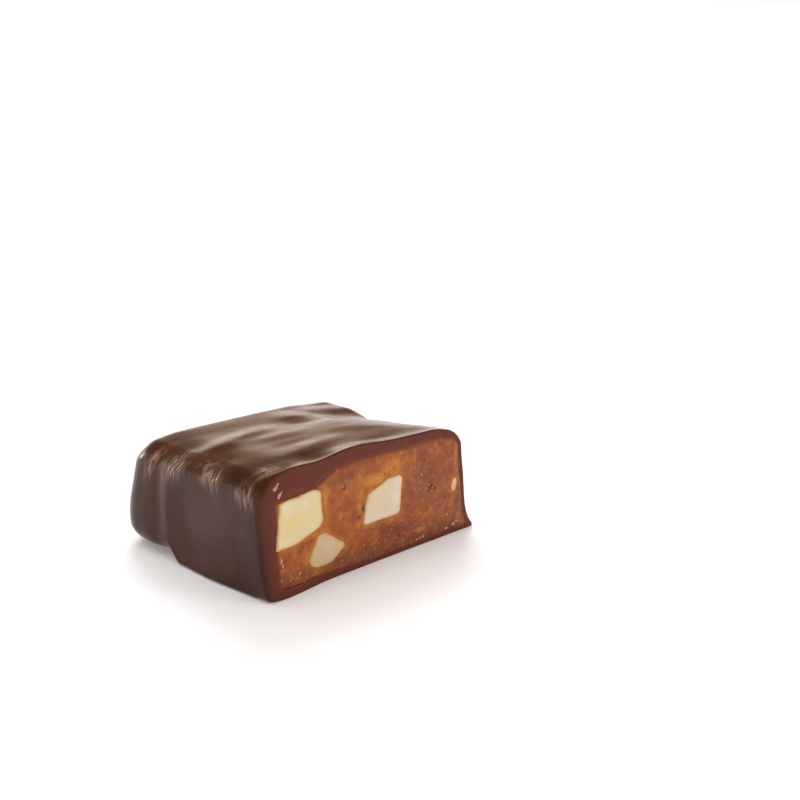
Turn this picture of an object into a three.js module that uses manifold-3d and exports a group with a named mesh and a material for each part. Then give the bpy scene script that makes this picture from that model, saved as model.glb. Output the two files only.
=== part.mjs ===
// Half of a chocolate-coated butter toffee bar with macadamia pieces, cut across its middle.
// Millimetres. x runs along the cut, y from the cut face to the rounded uncut end, z up from the table.
// The coat is one shell round a slab of soft toffee, open at the cut; the nut pieces sit in the toffee.

import * as THREE from "three";
import { mergeVertices } from "three/addons/utils/BufferGeometryUtils.js";
import Module from "manifold-3d";

// ---- Driving dimensions of the bar ----
const HALF_LENGTH = 25.2; // from the cut face to the uncut end
const WIDTH = 31.2; // between the sides, before the foot and the bulges
const HEIGHT = 14.0; // middle height of the top, before its slope and ripples
const SIDE_SHIFT = -0.3; // the sides' middle, off the middle of the cut
const GAP = 0.25; // clearance between pieces that touch

// ---- The coat's outside ----
const CUT_Y = -HALF_LENGTH / 2;
const END_Y = HALF_LENGTH / 2;
const PLAN_RADIUS = 3.2; // upright corners at the uncut end
const END_TOP_RADIUS = 3.4; // top edge of the uncut end
const END_FOOT_RADIUS = 1.4; // bottom edge of the uncut end
const SHOULDER_LEFT = 2.5;
const SHOULDER_RIGHT = 2.3;
const FOOT_RIGHT_RADIUS = 0.7;
const FOOT_LEFT_RADIUS = { cut: 1.0, behind: 0.5, over: 2.5 }; // rounder at the cut, for a short stretch
// The left foot ends in a step: past it the edge is rounder, and lifted off the table, most by the step.
const UNDERCUT = { start: 2.2, full: 4.7, end: 8.2, radius: 1.9, lift: 0.85, stays: 0.35 };

// ---- The top's slope and swells ----
const CUT_TOP = { middle: 14.57, fall: 0.05, cornerFall: 0.7 }; // height at the cut, falling to the right
const END_TOP = { middle: 12.55, fall: 0.052, cornerFall: 0.5 }; // height at the uncut end
const CORNER_FROM = 10.5; // where the top turns down into its right edge
const CUT_CREST = { x: -1.5, spread: 3.6, rise: 0.42 };
const CUT_DIP = { x: -7.4, spread: 2.2, rise: -0.22 };
const CUT_FADE = { share: 0.8, from: 0.4, to: 4.5 }; // the crest and the dip die away behind the cut
// Soft waves left by the running chocolate: place, spread along and across the wave, turn and rise.
const SWELLS = [
  { x: -1, y: -13.4, along: 14, across: 1.3, turn: 0, rise: 0.4 }, // lip along the cut
  { x: 3, y: -10.4, along: 9, across: 1.2, turn: -4, rise: -0.12 }, // trough behind the lip
  { x: -3.5, y: -7.3, along: 5, across: 1.3, turn: 8, rise: 0.12 },
  { x: 9, y: -1.4, along: 5.5, across: 4.2, turn: -8, rise: 0.52 }, // broad rise of the right half
  { x: 4.5, y: -4.6, along: 3.6, across: 1.6, turn: -14, rise: 0.1 },
  { x: -3.4, y: -1, along: 4, across: 1.3, turn: -4, rise: 0.12 },
  { x: -10.5, y: 0.6, along: 3, across: 1.5, turn: 16, rise: 0.26 }, // crests across the left half
  { x: -6.2, y: 2.4, along: 4.2, across: 1.4, turn: 8, rise: 0.22 },
  { x: 2, y: 2.2, along: 3.2, across: 2.2, turn: -20, rise: -0.12 }, // dimple in the middle
  { x: 6.4, y: 6.6, along: 3.8, across: 1.7, turn: 0, rise: 0.16 },
  { x: 9.4, y: 4, along: 2, across: 2.8, turn: 10, rise: -0.2 }, // dimple near the far corner
  { x: -5, y: 8.2, along: 8, across: 1.7, turn: -4, rise: 0.06 },
  { x: 13.6, y: 5.4, along: 2, across: 1.5, turn: 0, rise: 0.2 }, // hump, dip and fall of the right edge
  { x: 14.6, y: 1.4, along: 2.4, across: 1.6, turn: 0, rise: -0.5 },
  { x: 11, y: 9.4, along: 3.2, across: 1.5, turn: 0, rise: -0.34 },
];
const SHOULDER_SCALLOPS = { first: 3.5, pitch: 7.5, depth: 0.2 }; // dents along the left shoulder
const SHOULDER_DROP = 0.12; // how far the left shoulder lies below a plain rounded one
const SHOULDER_CAMBER = { cut: 0.5, end: 0.3 }; // how far the top falls away to the left
const SIDE_DENT = { y: 6.1, spread: 1.4, depth: 0.3 }; // shallow upright dent in the left side

// ---- The coat's thickness round the toffee ----
const COAT_LEFT = 2.45;
const COAT_RIGHT = 1.0;
const COAT_BOTTOM = 1.05;
const COAT_END = 1.7;
const COAT_TOP = { left: 2.1, right: 1.1, pooled: 1.3 }; // pooled over the left corner
const TOFFEE_SHOULDER = { left: 0.5, right: 1.2 };
const TOFFEE_FOOT = 0.6;
const TOFFEE_PLAN_RADIUS = 2.2;
const TOFFEE_SWELL = 0.12; // how far the soft toffee stands out of the cut

// ---- Nut pieces: outline at the cut (x, z), depth into the toffee, shrink and drift of the hidden end ----
const NUTS = {
  nut_piece_left: {
    outline: [
      [-13.75, 5.8], [-10.9, 5.9], [-7.5, 7.0], [-7.0, 7.7],
      [-7.3, 11.3], [-8.2, 11.8], [-13.2, 11.5],
    ],
    depth: 6.2, taper: 0.8, drift: [0.5, -0.4],
  },
  nut_piece_middle: {
    outline: [
      [-0.95, 5.45], [-0.2, 5.2], [4.4, 5.2], [4.9, 5.5], [5.2, 9.7],
      [4.8, 10.15], [2.9, 10.05], [-0.1, 8.9], [-0.6, 7.6],
    ],
    depth: 5.4, taper: 0.76, drift: [-0.3, 0.3],
  },
  nut_piece_low: {
    outline: [
      [-9.3, 3.3], [-8.9, 2.5], [-8.0, 2.05], [-5.8, 2.2], [-3.7, 3.65],
      [-4.0, 4.1], [-6.7, 6.2], [-7.8, 6.0], [-8.6, 4.6],
    ],
    depth: 4.6, taper: 0.72, drift: [0.4, 0.5],
  },
  nut_sliver_right: {
    outline: [[13.3, 5.5], [13.95, 5.5], [14.1, 6.3], [13.85, 7.0], [13.5, 7.1], [13.2, 6.3]],
    depth: 1.4, taper: 0.7, drift: [-0.1, 0],
  },
};
const NUT_CORNER = 0.3; // rounding of the nut pieces' corners, the most that a side gives up at each end
const NUT_PROUD = 0.08; // how far the nuts stand out of the cut

// ---- Mesh fineness ----
const COAT_STEPS = { base: 8, corner: 4, side: 6, top: 26, length: 22, round: 5, cap: 2 };
const CORE_STEPS = { base: 6, corner: 3, side: 4, top: 12, length: 8, round: 3, cap: 2 };

// ---- Small helpers ----
const mix = THREE.MathUtils.lerp;
const ease = (from, to, value) => THREE.MathUtils.smoothstep(value, from, to);
const bell = (value, middle, spread) => Math.exp(-(((value - middle) / spread) ** 2));

// ---- The hand-made form of the bar ----
const LEFT_X = SIDE_SHIFT - WIDTH / 2;
const RIGHT_X = SIDE_SHIFT + WIDTH / 2;

function swellHeight(x, y) {
  let height = 0;
  for (const s of SWELLS) {
    const turn = THREE.MathUtils.degToRad(s.turn);
    const along = (x - s.x) * Math.cos(turn) + (y - s.y) * Math.sin(turn);
    const across = (y - s.y) * Math.cos(turn) - (x - s.x) * Math.sin(turn);
    height += s.rise * bell(along, 0, s.along) * bell(across, 0, s.across);
  }
  return height;
}

// Height of the top over the table: high at the cut, lower at the uncut end and along the right edge.
function topHeight(x, y) {
  const along = (y - CUT_Y) / HALF_LENGTH;
  const lip = 1 - CUT_FADE.share * ease(CUT_FADE.from, CUT_FADE.to, y - CUT_Y);
  const cut = CUT_TOP.middle - CUT_TOP.fall * x
    + lip * CUT_CREST.rise * bell(x, CUT_CREST.x, CUT_CREST.spread)
    + lip * CUT_DIP.rise * bell(x, CUT_DIP.x, CUT_DIP.spread)
    - CUT_TOP.cornerFall * ease(CORNER_FROM, RIGHT_X, x);
  const end = END_TOP.middle - END_TOP.fall * x - END_TOP.cornerFall * ease(CORNER_FROM - 3, RIGHT_X, x);
  const fallsBy = 1 - 0.5 * ease(2, 13, x);
  return mix(cut, end, ease(0, fallsBy, along)) + swellHeight(x, y);
}

// Moves a point of the plain rounded bar to where it lies on the hand-made one.
function shapeByHand([x, y, z]) {
  const level = THREE.MathUtils.clamp(z / HEIGHT, 0, 1);
  const along = (y - CUT_Y) / HALF_LENGTH;
  const left = ease(0.3, 1, -x / (WIDTH / 2));
  const right = ease(0.3, 1, x / (WIDTH / 2));
  const corner = ease(0.55, 0.95, along);
  const scallopTurn = (2 * Math.PI * (y - SHOULDER_SCALLOPS.first)) / SHOULDER_SCALLOPS.pitch;
  const scallop = (0.5 + 0.5 * Math.cos(scallopTurn)) ** 2;

  // Left side: leans out at the top by the cut, and at the base by the corner.
  let dx = -left * 0.55 * ease(0.05, 0.85, level) * (1 - corner);
  dx += left * 0.25 * (1 - level) * (1 - ease(0, 0.3, along));
  dx -= left * 0.6 * bell(y, -1.5, 6) * bell(z, 0, 2.5);
  dx -= left * 1.05 * ease(0.5, 0.8, along) * bell(z, 3.6, 6.5);
  dx += left * SIDE_DENT.depth * bell(y, SIDE_DENT.y, SIDE_DENT.spread) * ease(0.02, 0.25, level);
  dx += left * SHOULDER_SCALLOPS.depth * scallop * bell(level, 0.93, 0.14);

  // Right side: slopes out to a thin foot, and is drawn in a little behind the cut.
  dx += right * (0.75 * (1 - level) * (1 - 0.5 * along) - 0.3 * level);
  dx += right * 1.5 * Math.exp(-z / 1.1) * (1 - ease(0, 0.25, along));
  dx -= right * 0.5 * bell(y, 2.5, 5.5);

  const dy = 0.9 * ease(0.75, 1, along) * bell(z, 3.2, 5);
  let dz = ease(0.3, 1, level) * (topHeight(x, y) - HEIGHT);
  const shoulder = ease(0.62, 1, -x / (WIDTH / 2));
  dz -= (SHOULDER_SCALLOPS.depth * scallop + SHOULDER_DROP) * shoulder * bell(level, 0.95, 0.1);
  const camber = mix(SHOULDER_CAMBER.cut, SHOULDER_CAMBER.end, ease(0.3, 0.7, along));
  dz -= camber * ease(7, 15.6, -x) ** 2 * ease(0.7, 1, level);
  const falls = (1 - UNDERCUT.stays) * ease(UNDERCUT.full, UNDERCUT.end, y);
  const stepped = ease(UNDERCUT.start, UNDERCUT.full, y) * (1 - falls);
  dz += UNDERCUT.lift * stepped * ease(7, 14.5, -x) * (1 - ease(0, 0.35, level));
  return new THREE.Vector3(x + dx, y + dy, z + dz);
}

// One closed ring of a rounded section, in the order base, right side, top, left side.
function sectionRing(box, radii, steps) {
  const points = [];
  const edge = (x0, z0, x1, z1, count) => {
    for (let i = 0; i < count; i++) {
      const share = i / (count - 1);
      points.push([mix(x0, x1, share), mix(z0, z1, share)]);
    }
  };
  const corner = (x, z, radius, startDegrees) => {
    for (let i = 0; i < steps.corner; i++) {
      const angle = THREE.MathUtils.degToRad(startDegrees + (90 * (i + 0.5)) / steps.corner);
      points.push([x + radius * Math.cos(angle), z + radius * Math.sin(angle)]);
    }
  };
  const { left, right, bottom, top } = box;
  const { footLeft, footRight, shoulderRight, shoulderLeft } = radii;
  edge(left + footLeft, bottom, right - footRight, bottom, steps.base);
  corner(right - footRight, bottom + footRight, footRight, -90);
  edge(right, bottom + footRight, right, top - shoulderRight, steps.side);
  corner(right - shoulderRight, top - shoulderRight, shoulderRight, 0);
  edge(right - shoulderRight, top, left + shoulderLeft, top, steps.top);
  corner(left + shoulderLeft, top - shoulderLeft, shoulderLeft, 90);
  edge(left, top - shoulderLeft, left, bottom + footLeft, steps.side);
  corner(left + footLeft, bottom + footLeft, footLeft, 180);
  return points;
}

// Skins a stack of rings of equal length, and closes each end with a fan round the ring's middle.
function skin(rings) {
  const count = rings[0].length;
  const positions = rings.flat().flatMap((p) => [p.x, p.y, p.z]);
  const index = [];
  for (let r = 0; r + 1 < rings.length; r++) {
    for (let i = 0; i < count; i++) {
      const a = r * count + i;
      const b = r * count + ((i + 1) % count);
      index.push(a, b + count, b, a, a + count, b + count);
    }
  }
  for (const atCut of [true, false]) {
    const first = atCut ? 0 : (rings.length - 1) * count;
    const ring = rings.at(atCut ? 0 : -1);
    const middle = ring.reduce((sum, p) => sum.add(p), new THREE.Vector3()).divideScalar(count);
    const hub = positions.length / 3;
    positions.push(middle.x, middle.y, middle.z);
    for (let i = 0; i < count; i++) {
      const a = first + i;
      const b = first + ((i + 1) % count);
      index.push(...(atCut ? [a, b, hub] : [b, a, hub]));
    }
  }
  const geometry = new THREE.BufferGeometry();
  geometry.setAttribute("position", new THREE.Float32BufferAttribute(positions, 3));
  geometry.setIndex(index);
  return geometry;
}

// Rings of a bar-shaped body: straight from startY, rounded at the far end, then drawn in over its end face.
function barRings({ startY, endY, planRadius, sectionAt, steps }) {
  const rings = [];
  const roundY = endY - planRadius;
  const place = (y, points) => rings.push(points.map(([x, z]) => shapeByHand([x, y, z])));
  for (let i = 0; i < steps.length; i++) {
    const y = mix(startY, roundY, i / (steps.length - 1));
    place(y, sectionAt(y, 0));
  }
  for (let i = 1; i <= steps.round; i++) {
    const angle = ((Math.PI / 2) * i) / steps.round;
    place(roundY + planRadius * Math.sin(angle), sectionAt(endY, 1 - Math.cos(angle)));
  }
  const middle = new THREE.Vector2(SIDE_SHIFT, HEIGHT * 0.45);
  for (let i = 1; i <= steps.cap; i++) {
    const shrink = 1 - i / (steps.cap + 1);
    const face = sectionAt(endY, 1);
    place(endY, face.map(([x, z]) => [mix(middle.x, x, shrink), mix(middle.y, z, shrink)]));
  }
  return rings;
}

// ---- The coat's outside and the toffee slab ----
function coatOutside() {
  const sectionAt = (y, rounding) => {
    const box = {
      left: LEFT_X + PLAN_RADIUS * rounding,
      right: RIGHT_X - PLAN_RADIUS * rounding,
      bottom: END_FOOT_RADIUS * rounding,
      top: HEIGHT - END_TOP_RADIUS * rounding,
    };
    const foot = FOOT_LEFT_RADIUS;
    const radii = {
      footLeft: mix(foot.cut, foot.behind, ease(0, foot.over, y - CUT_Y))
        + UNDERCUT.radius * ease(UNDERCUT.start, UNDERCUT.full, y),
      footRight: FOOT_RIGHT_RADIUS,
      shoulderRight: SHOULDER_RIGHT,
      shoulderLeft: SHOULDER_LEFT,
    };
    return sectionRing(box, radii, COAT_STEPS);
  };
  return skin(barRings({
    startY: CUT_Y,
    endY: END_Y,
    planRadius: PLAN_RADIUS,
    sectionAt,
    steps: COAT_STEPS,
  }));
}

// Thickness of the coat over the toffee: thick where it pooled at the left corner, thin at the right.
function coatTopAt(x) {
  const sideways = ease(LEFT_X, RIGHT_X, x);
  return mix(COAT_TOP.left, COAT_TOP.right, sideways) + COAT_TOP.pooled * ease(5, 9, -x);
}

// The toffee slab, or with grow above 0 the hollow round it; reach carries it past the cut.
function toffeeSlab(grow, reach) {
  const sectionAt = (y, rounding) => {
    const box = {
      left: LEFT_X + COAT_LEFT - grow + TOFFEE_PLAN_RADIUS * rounding,
      right: RIGHT_X - COAT_RIGHT + grow - TOFFEE_PLAN_RADIUS * rounding,
      bottom: COAT_BOTTOM - grow + TOFFEE_PLAN_RADIUS * 0.5 * rounding,
      top: HEIGHT + grow - TOFFEE_PLAN_RADIUS * 0.5 * rounding,
    };
    const radii = {
      footLeft: TOFFEE_FOOT,
      footRight: TOFFEE_FOOT,
      shoulderRight: TOFFEE_SHOULDER.right,
      shoulderLeft: TOFFEE_SHOULDER.left,
    };
    const ring = sectionRing(box, radii, CORE_STEPS);
    const half = HEIGHT / 2;
    return ring.map(([x, z]) => [x, z - coatTopAt(x) * THREE.MathUtils.clamp((z - half) / half, 0, 1)]);
  };
  return skin(barRings({
    startY: CUT_Y - reach,
    endY: END_Y - COAT_END + grow,
    planRadius: TOFFEE_PLAN_RADIUS,
    sectionAt,
    steps: CORE_STEPS,
  }));
}

// ---- Nut pieces ----
function middleOf(points) {
  return points.reduce((sum, p) => sum.add(p), new THREE.Vector2()).divideScalar(points.length);
}

// A piece's outline with each corner cut back into two points, and moved out by grow.
function nutOutline(outline, grow) {
  const corners = outline.map(([x, z]) => new THREE.Vector2(x, z));
  const middle = middleOf(corners);
  const rounded = [];
  corners.forEach((here, i) => {
    const before = corners[(i + corners.length - 1) % corners.length];
    const after = corners[(i + 1) % corners.length];
    for (const next of [before, after]) {
      const side = here.distanceTo(next);
      rounded.push(here.clone().lerp(next, Math.min(NUT_CORNER, side / 3) / side));
    }
  });
  return rounded.map((p) => {
    const outward = p.clone().sub(middle);
    return p.clone().addScaledVector(outward.normalize(), grow);
  });
}

// A nut piece from its outline at the cut back to its smaller hidden end; grow and reach make its pocket.
function nutBody({ outline, depth, taper, drift }, grow, reach) {
  const face = nutOutline(outline, grow);
  const middle = middleOf(face);
  const layers = [[-reach, 1], [depth * 0.45, 1.02], [depth * 0.85, 0.95], [depth, taper]];
  const rings = layers.map(([behind, size]) => {
    const share = Math.max(0, behind) / depth;
    const y = CUT_Y + behind + (behind > 0 ? grow * share : 0);
    return face.map((p) => new THREE.Vector3(
      middle.x + (p.x - middle.x) * size + drift[0] * share,
      y,
      middle.y + (p.y - middle.y) * size + drift[1] * share,
    ));
  });
  return skin(rings);
}

// ---- Joining and cutting ----
const wasm = await Module();
wasm.setup();

function toSolid(geometry) {
  const merged = mergeVertices(geometry, 1e-4);
  return new wasm.Manifold(new wasm.Mesh({
    numProp: 3,
    vertProperties: merged.attributes.position.array,
    triVerts: new Uint32Array(merged.index.array),
  }));
}

function toGeometry(solid) {
  const mesh = solid.getMesh();
  const geometry = new THREE.BufferGeometry();
  geometry.setAttribute("position", new THREE.BufferAttribute(mesh.vertProperties, 3));
  geometry.setIndex(new THREE.BufferAttribute(mesh.triVerts, 1));
  geometry.computeVertexNormals();
  return geometry;
}

// ---- Materials ----
const chocolate = new THREE.MeshStandardMaterial({ color: 0x5a3a2c, roughness: 0.38, metalness: 0 });
const toffee = new THREE.MeshStandardMaterial({ color: 0xa9622c, roughness: 0.34, metalness: 0 });
const nut = new THREE.MeshStandardMaterial({ color: 0xe6d6a6, roughness: 0.5, metalness: 0 });

// ---- The half bar ----
const CLEAR_OF_CUT = 2; // how far a cutter runs past the cut face
const coatSolid = toSolid(coatOutside()).subtract(toSolid(toffeeSlab(GAP, CLEAR_OF_CUT)));
let toffeeSolid = toSolid(toffeeSlab(0, TOFFEE_SWELL));
for (const piece of Object.values(NUTS)) {
  toffeeSolid = toffeeSolid.subtract(toSolid(nutBody(piece, GAP, CLEAR_OF_CUT)));
}

const halfBar = new THREE.Group();
function addPiece(name, geometry, material) {
  const mesh = new THREE.Mesh(geometry, material);
  mesh.name = name;
  halfBar.add(mesh);
}
addPiece("chocolate_coat", toGeometry(coatSolid), chocolate);
addPiece("toffee_filling", toGeometry(toffeeSolid), toffee);
for (const [name, piece] of Object.entries(NUTS)) {
  addPiece(name, nutBody(piece, 0, NUT_PROUD + TOFFEE_SWELL), nut);
}

// The origin is the middle of the box that the bar fills, at the table.
const filled = new THREE.Box3().setFromObject(halfBar);
const middle = filled.getCenter(new THREE.Vector3());
for (const mesh of halfBar.children) mesh.geometry.translate(-middle.x, -middle.y, -filled.min.z);

export default halfBar;
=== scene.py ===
"""Half of a chocolate-coated butter toffee bar with pale nut pieces, cut across its middle.

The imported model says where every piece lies. Sizes are millimetres until a mesh is made. x runs along
the cut, y from the cut face to the rounded uncut end, and z up from the table.
"""

import logging
import math
import random
from dataclasses import dataclass, field
from enum import Enum
from typing import Callable, Sequence

import bpy
import numpy as np
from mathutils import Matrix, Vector, noise


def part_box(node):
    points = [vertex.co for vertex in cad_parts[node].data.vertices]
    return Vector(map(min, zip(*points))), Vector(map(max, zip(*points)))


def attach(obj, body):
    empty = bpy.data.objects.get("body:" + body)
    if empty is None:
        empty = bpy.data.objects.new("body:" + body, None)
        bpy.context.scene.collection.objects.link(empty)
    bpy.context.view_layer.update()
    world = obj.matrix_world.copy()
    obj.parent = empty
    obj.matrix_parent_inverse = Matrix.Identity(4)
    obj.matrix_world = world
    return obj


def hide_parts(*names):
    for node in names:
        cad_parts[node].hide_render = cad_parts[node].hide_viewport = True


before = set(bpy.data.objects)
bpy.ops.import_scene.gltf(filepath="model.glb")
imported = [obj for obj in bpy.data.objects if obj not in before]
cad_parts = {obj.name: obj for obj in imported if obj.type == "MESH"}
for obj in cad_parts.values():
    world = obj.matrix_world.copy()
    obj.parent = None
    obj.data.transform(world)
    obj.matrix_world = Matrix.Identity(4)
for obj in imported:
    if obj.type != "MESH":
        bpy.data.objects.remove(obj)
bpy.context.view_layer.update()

BODY = "root"
MM = 0.001
LOG = logging.getLogger("half_bar")

Array = np.ndarray
Colour = tuple[float, float, float]
Socket = bpy.types.NodeSocket
Piece = bpy.types.Object


class Slot(Enum):
    """The record's material slots."""

    CHOCOLATE = "chocolate"
    TOFFEE = "toffee"
    NUT = "nut"


class MathStep(Enum):
    """What a Math node does with two values."""

    ADD = "ADD"
    MULTIPLY = "MULTIPLY"


# ---------------------------------------------------------------------------------------------
# Numbers and outlines
# ---------------------------------------------------------------------------------------------

def srgb(red: int, green: int, blue: int) -> Colour:
    """Turn a screen colour into the linear colour that a shader takes.

    Args:
        red: Red from 0 to 255.
        green: Green from 0 to 255.
        blue: Blue from 0 to 255.

    Returns:
        The three linear channels, from 0 to 1.
    """
    def linear(value: int) -> float:
        """Undo the screen's curve for one channel."""
        share = value / 255
        return share / 12.92 if share <= 0.04045 else ((share + 0.055) / 1.055) ** 2.4

    return linear(red), linear(green), linear(blue)


def ease(start: float, end: float, value: Array | float) -> Array | float:
    """Rise smoothly from 0 at start to 1 at end.

    Args:
        start: Where the rise starts.
        end: Where the rise ends.
        value: One value or an array of them.

    Returns:
        The eased share of each value.
    """
    share = np.clip((value - start) / (end - start), 0.0, 1.0)
    return share * share * (3.0 - 2.0 * share)


def bell(value: Array | float, middle: float, spread: float) -> Array | float:
    """Give a smooth hump of height 1.

    Args:
        value: One value or an array of them.
        middle: Where the hump stands.
        spread: Its half width at about a third of its height.

    Returns:
        The hump's height at each value.
    """
    return np.exp(-(((value - middle) / spread) ** 2))


def mix(low: Array | float, high: Array | float, share: Array | float) -> Array | float:
    """Blend from low to high by a share from 0 to 1."""
    return low + (high - low) * share


def lumps(points: Array, size: float, seed: float) -> Array:
    """Smooth noise at each point.

    Args:
        points: Points in mm, with x, y and z last.
        size: About how far apart the lumps are, in mm.
        seed: An offset that picks another pattern.

    Returns:
        Values of about -1 to 1, in the shape of the points.
    """
    scaled = (points / size + seed).reshape(-1, 3).tolist()
    return np.array([noise.noise(Vector(p)) for p in scaled]).reshape(points.shape[:-1])


def resample(line: Array, count: int) -> Array:
    """Spread points evenly along a line, from its first point to its last.

    Args:
        line: The line's points.
        count: How many points to return.

    Returns:
        The evenly spaced points.
    """
    travelled = np.concatenate([[0.0], np.cumsum(np.linalg.norm(np.diff(line, axis=0), axis=1))])
    wanted = np.linspace(0.0, travelled[-1], count)
    return np.stack([np.interp(wanted, travelled, line[:, k]) for k in range(line.shape[1])], axis=1)


def rounded_outline(corners: Sequence[tuple[float, float]], radius: float, count: int) -> Array:
    """Round a polygon's corners with smooth curves.

    Args:
        corners: The corners, in order.
        radius: The most that a side gives up at each of its ends.
        count: How many points the closed outline gets.

    Returns:
        Points along the rounded outline, evenly spaced.
    """
    points = np.array(corners, float)
    outline = []
    for before, here, after in zip(np.roll(points, 1, 0), points, np.roll(points, -1, 0)):
        ends = []
        for other in (before, after):
            side = np.linalg.norm(other - here)
            ends.append(here + (other - here) * min(radius, side / 2.2) / side)
        for share in np.linspace(0.0, 1.0, 9):
            outline.append(mix(mix(ends[0], here, share), mix(here, ends[1], share), share))
    outline.append(outline[0])
    return resample(np.array(outline), count + 1)[:-1]


def distance_outside(points: Array, outline: Array) -> Array:
    """Measure how far points lie outside a closed outline.

    Args:
        points: Points as rows of x and z.
        outline: The outline's points, in order.

    Returns:
        Distances in mm, below 0 inside.
    """
    nearest = np.full(len(points), np.inf)
    inside = np.zeros(len(points), bool)
    for a, b in zip(outline, np.roll(outline, -1, 0)):
        side = b - a
        share = np.clip(((points - a) @ side) / (side @ side), 0.0, 1.0)
        nearest = np.minimum(nearest, np.linalg.norm(points - a - share[:, None] * side, axis=1))
        crosses = (a[1] > points[:, 1]) != (b[1] > points[:, 1])
        height = side[1] if side[1] else 1e-12
        inside ^= crosses & (points[:, 0] < a[0] + (points[:, 1] - a[1]) / height * side[0])
    return np.where(inside, -nearest, nearest)


# ---------------------------------------------------------------------------------------------
# Meshes
# ---------------------------------------------------------------------------------------------

class RingSkin:
    """Skins a stack of closed rings, each end closed by a fan round the ring's middle."""

    def __init__(self, rings: Sequence[Array]) -> None:
        """Take the rings, each with the same number of points in mm."""
        self.rings = [np.asarray(ring, float) for ring in rings]
        self.count = len(self.rings[0])

    def vertices(self) -> Array:
        """Return every ring's points, then the two middles."""
        middles = np.stack([self.rings[0].mean(axis=0), self.rings[-1].mean(axis=0)])
        return np.concatenate(self.rings + [middles])

    def faces(self) -> list[tuple[int, ...]]:
        """List the faces: quads between rings and triangles at the ends.

        Returns:
            The faces, as tuples of indices.
        """
        count = self.count
        here = np.arange(count)
        after = (here + 1) % count
        ring = np.stack([here, here + count, after + count, after], axis=1)
        quads = [ring + r * count for r in range(len(self.rings) - 1)]
        last = (len(self.rings) - 1) * count
        hub = len(self.rings) * count
        faces = [tuple(quad) for quad in np.concatenate(quads).tolist()]
        faces += [(a, b, hub) for a, b in zip(here.tolist(), after.tolist())]
        faces += [(last + b, last + a, hub + 1) for a, b in zip(here.tolist(), after.tolist())]
        return faces

    def spread(self, ring_values: Sequence[float | Array]) -> Array:
        """Give each vertex its value: one for a whole ring, or one for each of its points."""
        values = np.stack([np.broadcast_to(value, self.count) for value in ring_values])
        return np.concatenate([values.ravel(), [values[0].mean(), values[-1].mean()]])


def make_piece(name: str, vertices: Array, faces: list, marks: dict[str, Array]) -> Piece:
    """Make a smooth-shaded object from points in mm.

    Args:
        name: The object's name.
        vertices: Its points in mm.
        faces: Its faces as tuples of indices.
        marks: A value for every vertex under each name, for the finish to read.

    Returns:
        The new object, linked to the scene.
    """
    mesh = bpy.data.meshes.new(name)
    mesh.from_pydata((vertices * MM).tolist(), [], faces)
    for mark, values in marks.items():
        layer = mesh.attributes.new(mark, "FLOAT", "POINT")
        layer.data.foreach_set("value", np.asarray(values, np.float32))
    mesh.shade_smooth()
    mesh.validate()
    piece = bpy.data.objects.new(name, mesh)
    bpy.context.scene.collection.objects.link(piece)
    return piece


def settle(
    piece: Piece, material: bpy.types.Material, node: str | None = None
) -> None:
    """Dress a piece and set it on the body.

    Args:
        piece: The piece.
        material: Its finish.
        node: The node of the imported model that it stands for, if any.
    """
    piece.data.materials.append(material)
    if node:
        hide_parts(node)
    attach(piece, BODY)


# ---------------------------------------------------------------------------------------------
# Finishes
# ---------------------------------------------------------------------------------------------

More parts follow.
